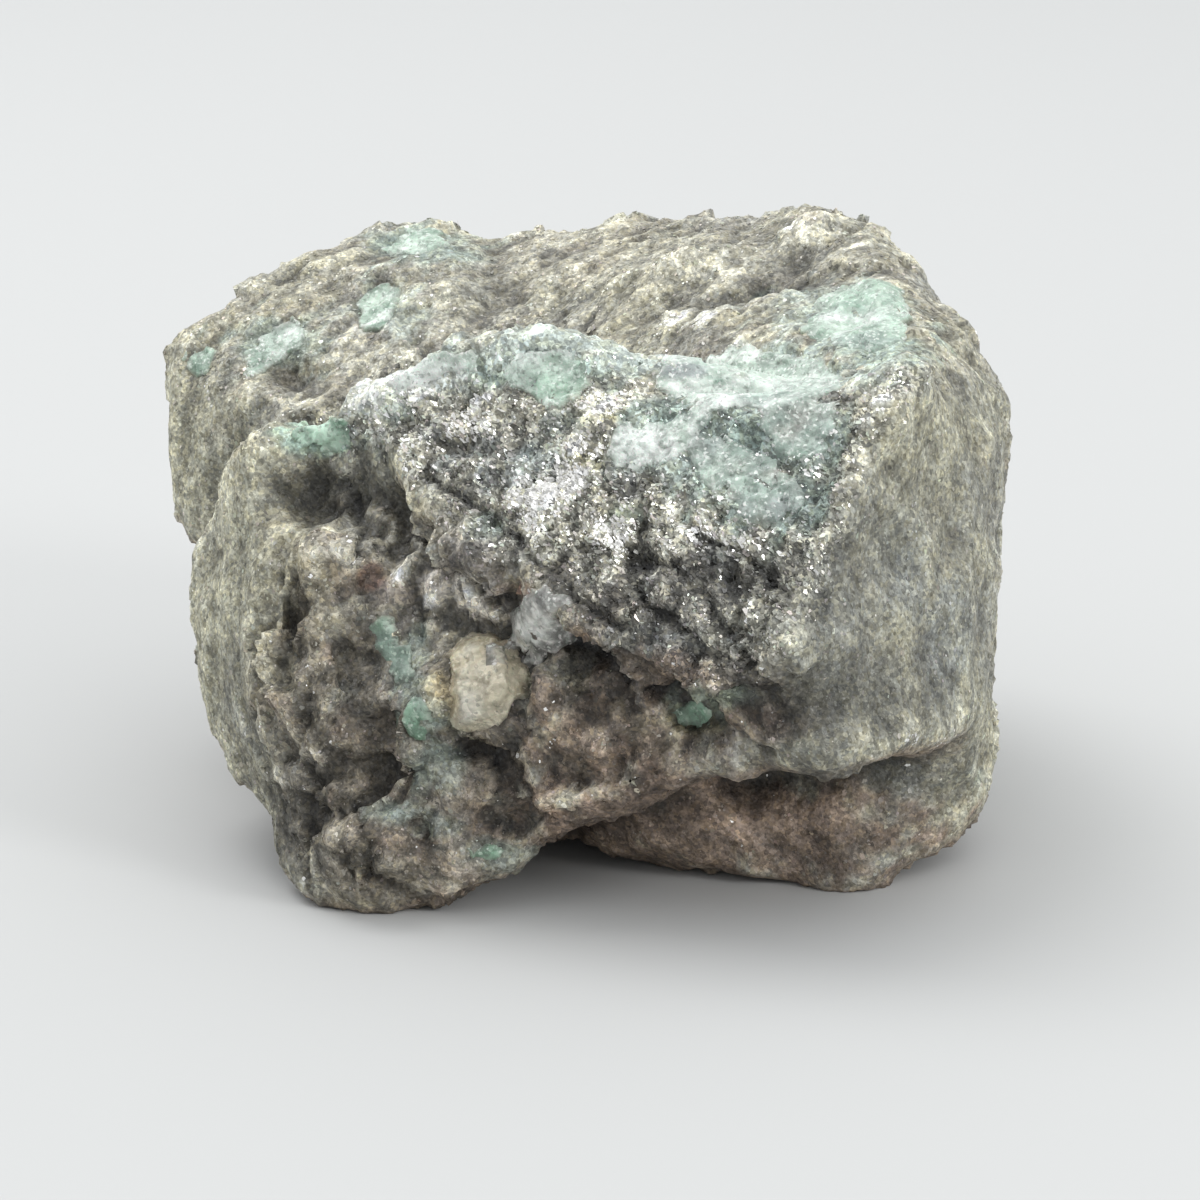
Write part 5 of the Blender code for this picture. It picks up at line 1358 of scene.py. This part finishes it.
def crystal_relief(points, seed):
    """Smooth broken faces, each its own height and tilt, and a low wave."""
    plane, cell = tilted_planes(points, CHIP_SIZE, seed)
    chip = CHIP_TILT * plane + CHIP_RISE * (random_at(cell, seed + 3) - 0.5)
    return chip + WAVE_RISE * noise(points, WAVE_SIZE, seed)


# %% [markdown]
# Emerald in schist changes its colour within a millimetre: clouds from light to deep, frost where
# it is bruised, which also serves as painted white sheen, white veils, and stone that shows through
# near its edge. A texture in the material can't know where the edge is, so these colours are worked
# out here and stored in the mesh.

# %% Crystal pieces
PROUD = 0.02 * MM
DIP = 0.26 * MM
MARGIN = 0.9 * MM
EDGE_BLEND, EDGE_WIDE = 0.85, 0.6 * MM
# How strongly frost, which also serves as painted white sheen, and overgrowth cover.
FROST_AND_SHEEN_COVER, OVERGROWN_COVER = 0.8, 0.85
# Sizes of the clouds and of the frost, which is also painted sheen, each from a wide and a fine noise.
CLOUD_WIDE, CLOUD_FINE, FROST_AND_SHEEN_WIDE, FROST_AND_SHEEN_FINE = 2.4 * MM, 1.0 * MM, 2.2 * MM, 0.8 * MM
FROST_AND_SHEEN_SQUEEZE = 2.5
# How much of the stone's relief an emerald and a quartz follow.
EMERALD_FOLLOWS, QUARTZ_FOLLOWS = 0.35, 0.15
# The seed of the first crystal, and the step to the next, which leaves room for its own seeds.
FIRST_SEED, SEED_STEP = 101, 9
# The colours of each finish: frosted, which also serves as painted white sheen, light, middle and deep.
PALETTES = {
    "emerald_pale": ((0.82, 0.86, 0.81), (0.65, 0.72, 0.65), (0.46, 0.55, 0.475), (0.27, 0.35, 0.29)),
    "emerald": ((0.72, 0.79, 0.72), (0.52, 0.63, 0.53), (0.36, 0.47, 0.38), (0.19, 0.29, 0.22)),
    "emerald_deep": ((0.50, 0.60, 0.50), (0.31, 0.44, 0.34), (0.17, 0.29, 0.20), (0.07, 0.14, 0.09)),
    "quartz_yellow": ((0.64, 0.60, 0.47), (0.52, 0.47, 0.34), (0.40, 0.35, 0.24), (0.24, 0.20, 0.14)),
    "quartz_grey": ((0.76, 0.76, 0.72), (0.50, 0.50, 0.47), (0.30, 0.30, 0.28), (0.15, 0.15, 0.145)),
}
SLOTS = {part["node"]: part["material_slot"] for part in frame["record"]["subparts"]}

# Mica over a crystal has the stone's colour, as strong as the overgrowth.
veils_and_sheen_tint, veils_and_sheen_cover = cover_of(VEILS_AND_SHEEN)
veils_and_sheen_tint = covered(veils_and_sheen_tint, stone_tint, overgrown)
emerald_veils_and_sheen = (veils_and_sheen_tint, np.maximum(veils_and_sheen_cover, OVERGROWN_COVER * overgrown))
quartz_veils_and_highlights = cover_of(QUARTZ_VEILS_AND_HIGHLIGHTS, PALE_GREY)


def crystal_colour(points, slot, seed, depth, around):
    """Clouds of the light, middle and deep colour, frost where another noise is high, which also serves
    as painted white sheen, the veils of the place with their painted sheen and highlights, and
    towards the crystal's edge the colour of the stone. The columns of around are the stone's colour,
    the veils' colour and how much the veils cover."""
    frost_and_sheen, light, middle, deep = (np.array(c) for c in PALETTES[slot])
    cloud = noise(points, CLOUD_WIDE, seed) + 0.6 * noise(points, CLOUD_FINE, seed + 2)
    colour = covered(deep, middle, smooth(-0.75, -0.05, cloud))
    colour = covered(colour, light, smooth(0.0, 0.7, cloud))
    layered = in_layers(points, FROST_AND_SHEEN_SQUEEZE)
    cold = noise(layered, FROST_AND_SHEEN_WIDE, seed + 4) + 0.7 * noise(layered, FROST_AND_SHEEN_FINE, seed + 6)
    colour = covered(colour, frost_and_sheen, FROST_AND_SHEEN_COVER * smooth(0.2, 0.8, cold))
    colour = covered(colour, around[:, 3:6], around[:, 6])
    edge = EDGE_BLEND * (1 - smooth(-0.1 * MM, EDGE_WIDE, depth))
    return covered(colour, around[:, :3], edge)


def crystal_piece(name, seed):
    """The visible body of one crystal."""
    quartz = SLOTS[name].startswith("quartz")
    value = insides[name]
    keep = (value[skin_triangles] > -MARGIN).all(1)
    used, again = np.unique(skin_triangles[keep], return_inverse=True)
    tint, cover = quartz_veils_and_highlights if quartz else emerald_veils_and_sheen
    columns = (value[:, None], stone_push[:, None], stone_tint, tint, cover[:, None], calm_normals)
    table = np.concatenate(columns, 1)[used]
    corners, triangles, table = finer(plain_corners[used], again.reshape(-1, 3), table)
    normals = corner_normals(corners, triangles)
    depth = table[:, 0] + raggedness(corners)
    inside = smooth(-0.15 * MM, 0.2 * MM, depth)
    follow = QUARTZ_FOLLOWS if quartz else EMERALD_FOLLOWS
    height = follow * table[:, 1] + crystal_relief(corners, seed)
    height += (PROUD + DIP) * inside - DIP - SINK * (1 - inside)
    top = corners + normals * height[:, None]
    body, sides = closed_under(top, table[:, 9:], triangles, SHELL)
    ob = mesh_object(name + "_crystal", body, sides)
    colour = crystal_colour(corners, SLOTS[name], seed, depth, table[:, 2:])
    put_colour(ob, "tint", np.concatenate([colour, colour]))
    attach(ob, "root")
    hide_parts(name)
    return ob


seeds = {name: FIRST_SEED + SEED_STEP * i for i, name in enumerate(CRYSTALS)}
crystal_objects = {name: crystal_piece(name, seeds[name]) for name in CRYSTALS}
print("crystal triangles:", sum(len(ob.data.polygons) for ob in crystal_objects.values()))

# %% [markdown]
# The finishes are built from shader nodes by a few short helpers, because a node tree made by
# clicking can't be read in a script. Each helper adds one thing and gives back its socket.

# %% Helpers for shader nodes
def add(tree, kind, **values):
    """A node with some of its settings or inputs set by name."""
    node = tree.nodes.new(kind)
    for key, value in values.items():
        if hasattr(node, key):
            setattr(node, key, value)
        else:
            node.inputs[key].default_value = value
    return node


def use(tree, group, **values):
    """A group placed in a material, with its own values."""
    node = tree.nodes.new("ShaderNodeGroup")
    node.node_tree = group
    for key, value in values.items():
        node.inputs[key].default_value = value
    return node


def ramp(tree, stops, factor):
    """A colour ramp from (place, colour or grey) pairs."""
    node = tree.nodes.new("ShaderNodeValToRGB")
    elements = node.color_ramp.elements
    while len(elements) < len(stops):
        elements.new(0.5)
    for element, (place, colour) in zip(elements, stops):
        element.position = place
        element.color = (*colour, 1.0) if np.ndim(colour) else (colour, colour, colour, 1.0)
    tree.links.new(factor, node.inputs["Fac"])
    return node.outputs["Color"]


def mixed(tree, factor, first, second, kind="MIX"):
    """Two colours blended; each of the three may be a socket, a colour or a number."""
    node = tree.nodes.new("ShaderNodeMix")
    node.data_type, node.blend_type = "RGBA", kind
    for slot, value in zip((node.inputs[0], node.inputs[6], node.inputs[7]), (factor, first, second)):
        if isinstance(value, bpy.types.NodeSocket):
            tree.links.new(value, slot)
        else:
            slot.default_value = (*value, 1.0) if np.ndim(value) else value
    return node.outputs[2]


def times(tree, colour, *layers):
    """A colour multiplied by each layer in turn."""
    for layer in layers:
        colour = mixed(tree, 1.0, colour, layer, "MULTIPLY")
    return colour


def bump(tree, height, strength, distance, normal=None):
    """A bumped normal from a height, over another normal if one is given."""
    node = add(tree, "ShaderNodeBump", Strength=strength, Distance=distance)
    tree.links.new(height, node.inputs["Height"])
    if normal:
        tree.links.new(normal, node.inputs["Normal"])
    return node.outputs["Normal"]


def attribute(tree, name):
    """A colour that the mesh carries."""
    return add(tree, "ShaderNodeAttribute", attribute_name=name).outputs["Color"]


def new_material(name, fixed):
    """A material with its node tree and its shader, whose fixed numbers are set by name."""
    material = bpy.data.materials.new(name)
    material.use_nodes = True
    shader = material.node_tree.nodes["Principled BSDF"]
    for key, value in fixed.items():
        shader.inputs[key].default_value = value
    return material, material.node_tree, shader


# %% [markdown]
# Two effects serve every finish, so each is a node group. Layered grain gives random cells in a
# space that is squeezed across the layers, as grains of schist are. Glitter tips the normal of
# each small cell another way, as a crowd of flakes too small to model does.

# %% Node groups
FLOAT, VECTOR = "NodeSocketFloat", "NodeSocketVector"
TO_LAYERS = Matrix(LAYER_AXES.tolist()).to_euler()
SIZES_PER_METRE = 1000.0


def new_group(name, inputs, outputs):
    """A node group with named sockets: inputs is a dict of name to value, outputs to kind."""
    group = bpy.data.node_groups.new(name, "ShaderNodeTree")
    for key, value in inputs.items():
        group.interface.new_socket(key, in_out="INPUT", socket_type=FLOAT).default_value = value
    for key, kind in outputs.items():
        group.interface.new_socket(key, in_out="OUTPUT", socket_type=kind)
    return group, group.nodes.new("NodeGroupInput"), group.nodes.new("NodeGroupOutput")


def scale_of(group, start, socket):
    """A texture's scale for a size given in millimetres: 1000 / size."""
    node = add(group, "ShaderNodeMath", operation="DIVIDE")
    node.inputs[0].default_value = SIZES_PER_METRE
    group.links.new(start.outputs[socket], node.inputs[1])
    return node.outputs[0]


def grain_group():
    """Random values for small cells, and soft noise, in the stone's own layered space."""
    sizes = {"Cell": 0.25, "Patch": 1.5, "Squeeze": 2.0, "Run": 0.7}
    kinds = {"Cell Value": FLOAT, "Cell Hue": FLOAT, "Patches": FLOAT, "Fine": FLOAT}
    group, start, end = new_group("layered grain", sizes, kinds)
    link = group.links.new
    place = add(group, "ShaderNodeTexCoord")
    turned = add(group, "ShaderNodeMapping", Rotation=TO_LAYERS)
    squeeze = add(group, "ShaderNodeCombineXYZ", Y=1.0)
    scaled = add(group, "ShaderNodeVectorMath", operation="MULTIPLY")
    link(place.outputs["Object"], turned.inputs["Vector"])
    link(start.outputs["Run"], squeeze.inputs["X"])
    link(start.outputs["Squeeze"], squeeze.inputs["Z"])
    link(turned.outputs["Vector"], scaled.inputs[0])
    link(squeeze.outputs["Vector"], scaled.inputs[1])
    cell_scale, patch_scale = scale_of(group, start, "Cell"), scale_of(group, start, "Patch")
    cells = add(group, "ShaderNodeTexVoronoi", feature="F1")
    patches = add(group, "ShaderNodeTexNoise", Detail=4.0, Roughness=0.6)
    fine = add(group, "ShaderNodeTexNoise", Detail=2.0, Roughness=0.7)
    for node, scale in ((cells, cell_scale), (fine, cell_scale), (patches, patch_scale)):
        link(scaled.outputs["Vector"], node.inputs["Vector"])
        link(scale, node.inputs["Scale"])
    split = add(group, "ShaderNodeSeparateColor")
    link(cells.outputs["Color"], split.inputs["Color"])
    link(split.outputs["Red"], end.inputs["Cell Value"])
    link(split.outputs["Green"], end.inputs["Cell Hue"])
    link(patches.outputs["Fac"], end.inputs["Patches"])
    link(fine.outputs["Fac"], end.inputs["Fine"])
    return group


def glitter_group():
    """The surface normal tipped another way in each small cell, and a random value for it."""
    sizes, kinds = {"Cell": 0.18, "Tip": 0.5}, {"Normal": VECTOR, "Sparkle": FLOAT}
    group, start, end = new_group("glitter", sizes, kinds)
    link = group.links.new
    place = add(group, "ShaderNodeTexCoord")
    cells = add(group, "ShaderNodeTexVoronoi", feature="F1")
    link(place.outputs["Object"], cells.inputs["Vector"])
    link(scale_of(group, start, "Cell"), cells.inputs["Scale"])
    centred = add(group, "ShaderNodeVectorMath", operation="SUBTRACT")
    centred.inputs[1].default_value = (0.5, 0.5, 0.5)
    tipped = add(group, "ShaderNodeVectorMath", operation="SCALE")
    geometry = add(group, "ShaderNodeNewGeometry")
    total = add(group, "ShaderNodeVectorMath", operation="ADD")
    one = add(group, "ShaderNodeVectorMath", operation="NORMALIZE")
    split = add(group, "ShaderNodeSeparateColor")
    link(cells.outputs["Color"], centred.inputs[0])
    link(centred.outputs["Vector"], tipped.inputs[0])
    link(start.outputs["Tip"], tipped.inputs["Scale"])
    link(geometry.outputs["Normal"], total.inputs[0])
    link(tipped.outputs["Vector"], total.inputs[1])
    link(total.outputs["Vector"], one.inputs[0])
    link(cells.outputs["Color"], split.inputs["Color"])
    link(one.outputs["Vector"], end.inputs["Normal"])
    link(split.outputs["Blue"], end.inputs["Sparkle"])
    return group


GRAIN_GROUP, GLITTER_GROUP = grain_group(), glitter_group()
print("groups:", GRAIN_GROUP.name, "and", GLITTER_GROUP.name)

# %% [markdown]
# The stone is salt and pepper. On the worn sides the grains differ little, on the slope they go
# from nearly black to white, and some are olive or blue-grey. The colour of the place comes from
# the mesh and the grains from nodes, since grains of a tenth of a millimetre are finer than the
# mesh. Glitter and a fine bump finish it.

# %% Finish of the stone
def stone_finish():
    """Speckled stone: the colour of the place times those of grain, sand, streak, cloud and hue."""
    material, tree, shader = new_material("schist", {"IOR": 1.5})
    grain = use(tree, GRAIN_GROUP, Cell=0.24, Patch=1.0, Squeeze=1.15, Run=0.9)
    sand = use(tree, GRAIN_GROUP, Cell=0.12, Patch=0.5, Squeeze=1.0, Run=1.0)
    streaks = use(tree, GRAIN_GROUP, Cell=0.45, Patch=1.2, Squeeze=2.0, Run=0.55)
    worn_stops = ((0.0, 0.62), (0.3, 0.88), (0.7, 1.05), (1.0, 1.32))
    worn = ramp(tree, worn_stops, grain.outputs["Cell Value"])
    bright_stops = ((0.0, 0.20), (0.2, 0.50), (0.55, 0.95), (0.85, 1.4), (1.0, 2.0))
    bright = ramp(tree, bright_stops, grain.outputs["Cell Value"])
    salt = mixed(tree, attribute(tree, "glitter"), worn, bright)
    fine = ramp(tree, ((0.0, 0.72), (0.5, 1.0), (1.0, 1.28)), sand.outputs["Cell Value"])
    calm_streak = ramp(tree, ((0.36, 0.74), (0.49, 0.98), (0.64, 1.20)), streaks.outputs["Patches"])
    hard_streak = ramp(tree, ((0.36, 0.52), (0.49, 0.97), (0.64, 1.40)), streaks.outputs["Patches"])
    streak = mixed(tree, attribute(tree, "coarse"), calm_streak, hard_streak)
    cloud = ramp(tree, ((0.34, 0.70), (0.66, 1.24)), grain.outputs["Patches"])
    hue_stops = ((0.0, (0.93, 0.96, 1.03)), (0.5, (1.0, 1.0, 1.0)), (1.0, (1.04, 1.01, 0.91)))
    hue = ramp(tree, hue_stops, grain.outputs["Cell Hue"])
    colour = times(tree, attribute(tree, "tint"), salt, fine, streak, cloud, hue)
    tree.links.new(colour, shader.inputs["Base Color"])
    glitter = use(tree, GLITTER_GROUP, Cell=0.16, Tip=0.45)
    layers = bump(tree, streaks.outputs["Patches"], 0.45, 0.20 * MM, glitter.outputs["Normal"])
    normal = bump(tree, grain.outputs["Fine"], 0.7, 0.10 * MM, layers)
    tree.links.new(normal, shader.inputs["Normal"])
    rough = ramp(tree, ((0.0, 0.75), (0.75, 0.55), (1.0, 0.28)), glitter.outputs["Sparkle"])
    tree.links.new(rough, shader.inputs["Roughness"])
    return material


stone.data.materials.append(stone_finish())
print("stone finish:", stone.data.materials[0].name)

# %% [markdown]
# A flake carries its own colour and gloss. Silvery mica is pearly: half like a metal, with a
# tight highlight. Dark mica and the grains shine as glass does. One function makes all three,
# since only two numbers differ.

# %% Finishes of the flakes
def flake_finish(name, metal, strength):
    """Mica or grain with a veil of fine noise over the flake's own colour."""
    material, tree, shader = new_material(name, {"Metallic": metal, "IOR": 1.6})
    grain = use(tree, GRAIN_GROUP, Cell=0.10, Patch=0.6, Squeeze=1.0, Run=1.0)
    haze = ramp(tree, ((0.3, 0.78), (0.7, 1.18)), grain.outputs["Fine"])
    tree.links.new(times(tree, attribute(tree, "tint"), haze), shader.inputs["Base Color"])
    tree.links.new(attribute(tree, "gloss"), shader.inputs["Roughness"])
    normal = bump(tree, grain.outputs["Fine"], strength, 0.03 * MM)
    tree.links.new(normal, shader.inputs["Normal"])
    return material


silver.data.materials.append(flake_finish("mica silver", 0.6, 0.25))
dark.data.materials.append(flake_finish("mica dark", 0.0, 0.3))
grains.data.materials.append(flake_finish("schist grains", 0.0, 0.6))
print("flake finishes:", [ob.data.materials[0].name for ob in (silver, dark, grains)])

# %% [markdown]
# Emerald in schist is milky. Its green comes and goes in clouds, white veils run through it, and
# specks of mica sit in it. Some light goes in and comes out green. Plain transmission would make
# it glass, so the shader's subsurface part gives this.

# %% Finishes of the crystals
SPECK_COLOUR = (0.10, 0.12, 0.10)
EMERALD_SPECKS, QUARTZ_SPECKS = 0.05, 0.02
MILKY_CRYSTAL = {
    "IOR": 1.58, "Subsurface Weight": 0.3, "Subsurface Radius": (0.6, 1.0, 0.8),
    "Subsurface Scale": 0.6 * MM,
}


def crystal_finish(name):
    """Milky crystal: the piece's own colour times clouds and sugary cells, with milky patches and
    light and dark specks over it, and a sparkle."""
    frost_and_sheen = PALETTES[name][0]
    material, tree, shader = new_material(name, MILKY_CRYSTAL)
    veins = use(tree, GRAIN_GROUP, Cell=0.16, Patch=1.2, Squeeze=1.4, Run=0.9)
    sugar = use(tree, GRAIN_GROUP, Cell=0.30, Patch=0.35, Squeeze=1.2, Run=0.9)
    cloud = ramp(tree, ((0.32, 0.78), (0.68, 1.18)), veins.outputs["Patches"])
    sparkly = ramp(tree, ((0.0, 0.80), (0.5, 1.0), (1.0, 1.22)), sugar.outputs["Cell Value"])
    body = times(tree, attribute(tree, "tint"), cloud, sparkly)
    milky = ramp(tree, ((0.56, 0.0), (0.72, 0.7)), sugar.outputs["Patches"])
    body = mixed(tree, milky, body, frost_and_sheen)
    light_speck = ramp(tree, ((0.90, 0.0), (0.94, 0.7)), veins.outputs["Cell Value"])
    body = mixed(tree, light_speck, body, frost_and_sheen)
    specks = EMERALD_SPECKS if name.startswith("emerald") else QUARTZ_SPECKS
    dark_speck = ramp(tree, ((specks, 0.45), (specks + 0.04, 0.0)), veins.outputs["Cell Value"])
    body = mixed(tree, dark_speck, body, SPECK_COLOUR)
    tree.links.new(body, shader.inputs["Base Color"])
    rough = ramp(tree, ((0.3, 0.22), (0.7, 0.50)), veins.outputs["Fine"])
    tree.links.new(rough, shader.inputs["Roughness"])
    glitter = use(tree, GLITTER_GROUP, Cell=0.24, Tip=0.30)
    normal = bump(tree, sugar.outputs["Patches"], 0.6, 0.15 * MM, glitter.outputs["Normal"])
    tree.links.new(normal, shader.inputs["Normal"])
    return material


finishes = {slot: crystal_finish(slot) for slot in PALETTES}
for name, ob in crystal_objects.items():
    ob.data.materials.append(finishes[SLOTS[name]])
print("crystal finishes:", sorted(finishes))

# %% [markdown]
# The floor is a pale sheet that curves up behind the stone, a function of how far back a point
# lies: level near the stone, then a smooth rise. A plane and a wall would show a line.

# %% Floor
FLOOR_SIDE, FLOOR_BACK, FLOOR_RISE, RISE_START = 0.9, 1.5, 0.5, 0.4
FLOOR_COLUMNS, FLOOR_ROWS = 41, 81
across = np.linspace(-FLOOR_SIDE, FLOOR_SIDE, FLOOR_COLUMNS)
across, back = np.meshgrid(across, np.linspace(-FLOOR_SIDE, FLOOR_BACK, FLOOR_ROWS))
rise = FLOOR_RISE * smooth(RISE_START, FLOOR_BACK, back)
row, column = np.meshgrid(np.arange(FLOOR_ROWS - 1), np.arange(FLOOR_COLUMNS - 1), indexing="ij")
first = (row * FLOOR_COLUMNS + column).reshape(-1)
squares = np.stack([first, first + 1, first + FLOOR_COLUMNS + 1, first + FLOOR_COLUMNS], 1)
floor = mesh_object("floor", np.stack([across, back, rise], -1).reshape(-1, 3), squares)
floor_look = {"Base Color": (0.515, 0.52, 0.515, 1), "Roughness": 0.8}
floor.data.materials.append(new_material("floor", floor_look)[0])
print("floor squares:", len(squares))

# %% [markdown]
# The light is that of a window behind and above: a tent that is bright high up and at the back
# and dim near the camera, so that flakes turned up are white and their neighbours nearly black.
# An even sky would make all flakes alike. A small lamp on the right front lies where the slope's
# flakes mirror the camera.

# %% Light
TENT_FRONT, TENT_TOP, TENT_COLOUR = 0.48, 1.35, (0.97, 0.985, 1.0, 1)
TENT_MEASURE, TENT_RANGE = (0.0, 0.45, 0.75), (-0.25, 0.75)
LIT_POINT = Vector((0, 0, 0.015))


def soft_world():
    """A tent of soft light: its brightness grows from the front value, low and near the camera, to
    the top value, high and behind the stone, with 0.75 up + 0.45 back as the measure."""
    world = bpy.data.worlds.new("studio")
    world.use_nodes = True
    bpy.context.scene.world = world
    tree = world.node_tree
    place = add(tree, "ShaderNodeTexCoord")
    measure = add(tree, "ShaderNodeVectorMath", operation="DOT_PRODUCT")
    measure.inputs[1].default_value = TENT_MEASURE
    spread = add(tree, "ShaderNodeMapRange", interpolation_type="SMOOTHSTEP")
    ends = (*TENT_RANGE, TENT_FRONT, TENT_TOP)
    for key, value in zip(("From Min", "From Max", "To Min", "To Max"), ends):
        spread.inputs[key].default_value = value
    shade = tree.nodes["Background"]
    shade.inputs["Color"].default_value = TENT_COLOUR
    tree.links.new(place.outputs["Generated"], measure.inputs[0])
    tree.links.new(measure.outputs["Value"], spread.inputs["Value"])
    tree.links.new(spread.outputs["Result"], shade.inputs["Strength"])


def soft_light(name, place, size, watts):
    """A square lamp that looks at the stone."""
    lamp = bpy.data.lights.new(name, "AREA")
    lamp.shape, lamp.size, lamp.energy = "SQUARE", size, watts
    ob = bpy.data.objects.new(name, lamp)
    ob.location = place
    ob.rotation_euler = (LIT_POINT - Vector(place)).to_track_quat("-Z", "Y").to_euler()
    bpy.context.scene.collection.objects.link(ob)


soft_world()
soft_light("key light", (0.42, -0.27, 0.27), 0.14, 0.9)
soft_light("top light", (-0.20, 0.16, 0.50), 0.30, 1.2)
bpy.context.scene.view_settings.view_transform = "Standard"

# %% [markdown]
# The camera looks at the middle of the view from its distance, along its slope. It has the same
# numbers as the places on the stone, so both stay together if one of them changes.

# %% Camera
middle_up = VIEW_MIDDLE_UP * math.sin(VIEW_ELEVATION)
middle_high = VIEW_MIDDLE_UP * math.cos(VIEW_ELEVATION)
centre = (np.array([VIEW_MIDDLE_RIGHT, middle_up, middle_high]) + STAND_SHIFT) * MM
camera_data = bpy.data.cameras.new("camera")
camera_data.lens, camera_data.sensor_width = 120, 36
camera_data.clip_start, camera_data.clip_end = 0.01, 10
camera = bpy.data.objects.new("camera", camera_data)
camera.location = centre + TO_VIEW * VIEW_DISTANCE * MM
camera.rotation_euler = Vector(-TO_VIEW).to_track_quat("-Z", "Y").to_euler()
bpy.context.scene.collection.objects.link(camera)
bpy.context.scene.camera = camera
print("camera at", tuple(round(v, 4) for v in camera.location))
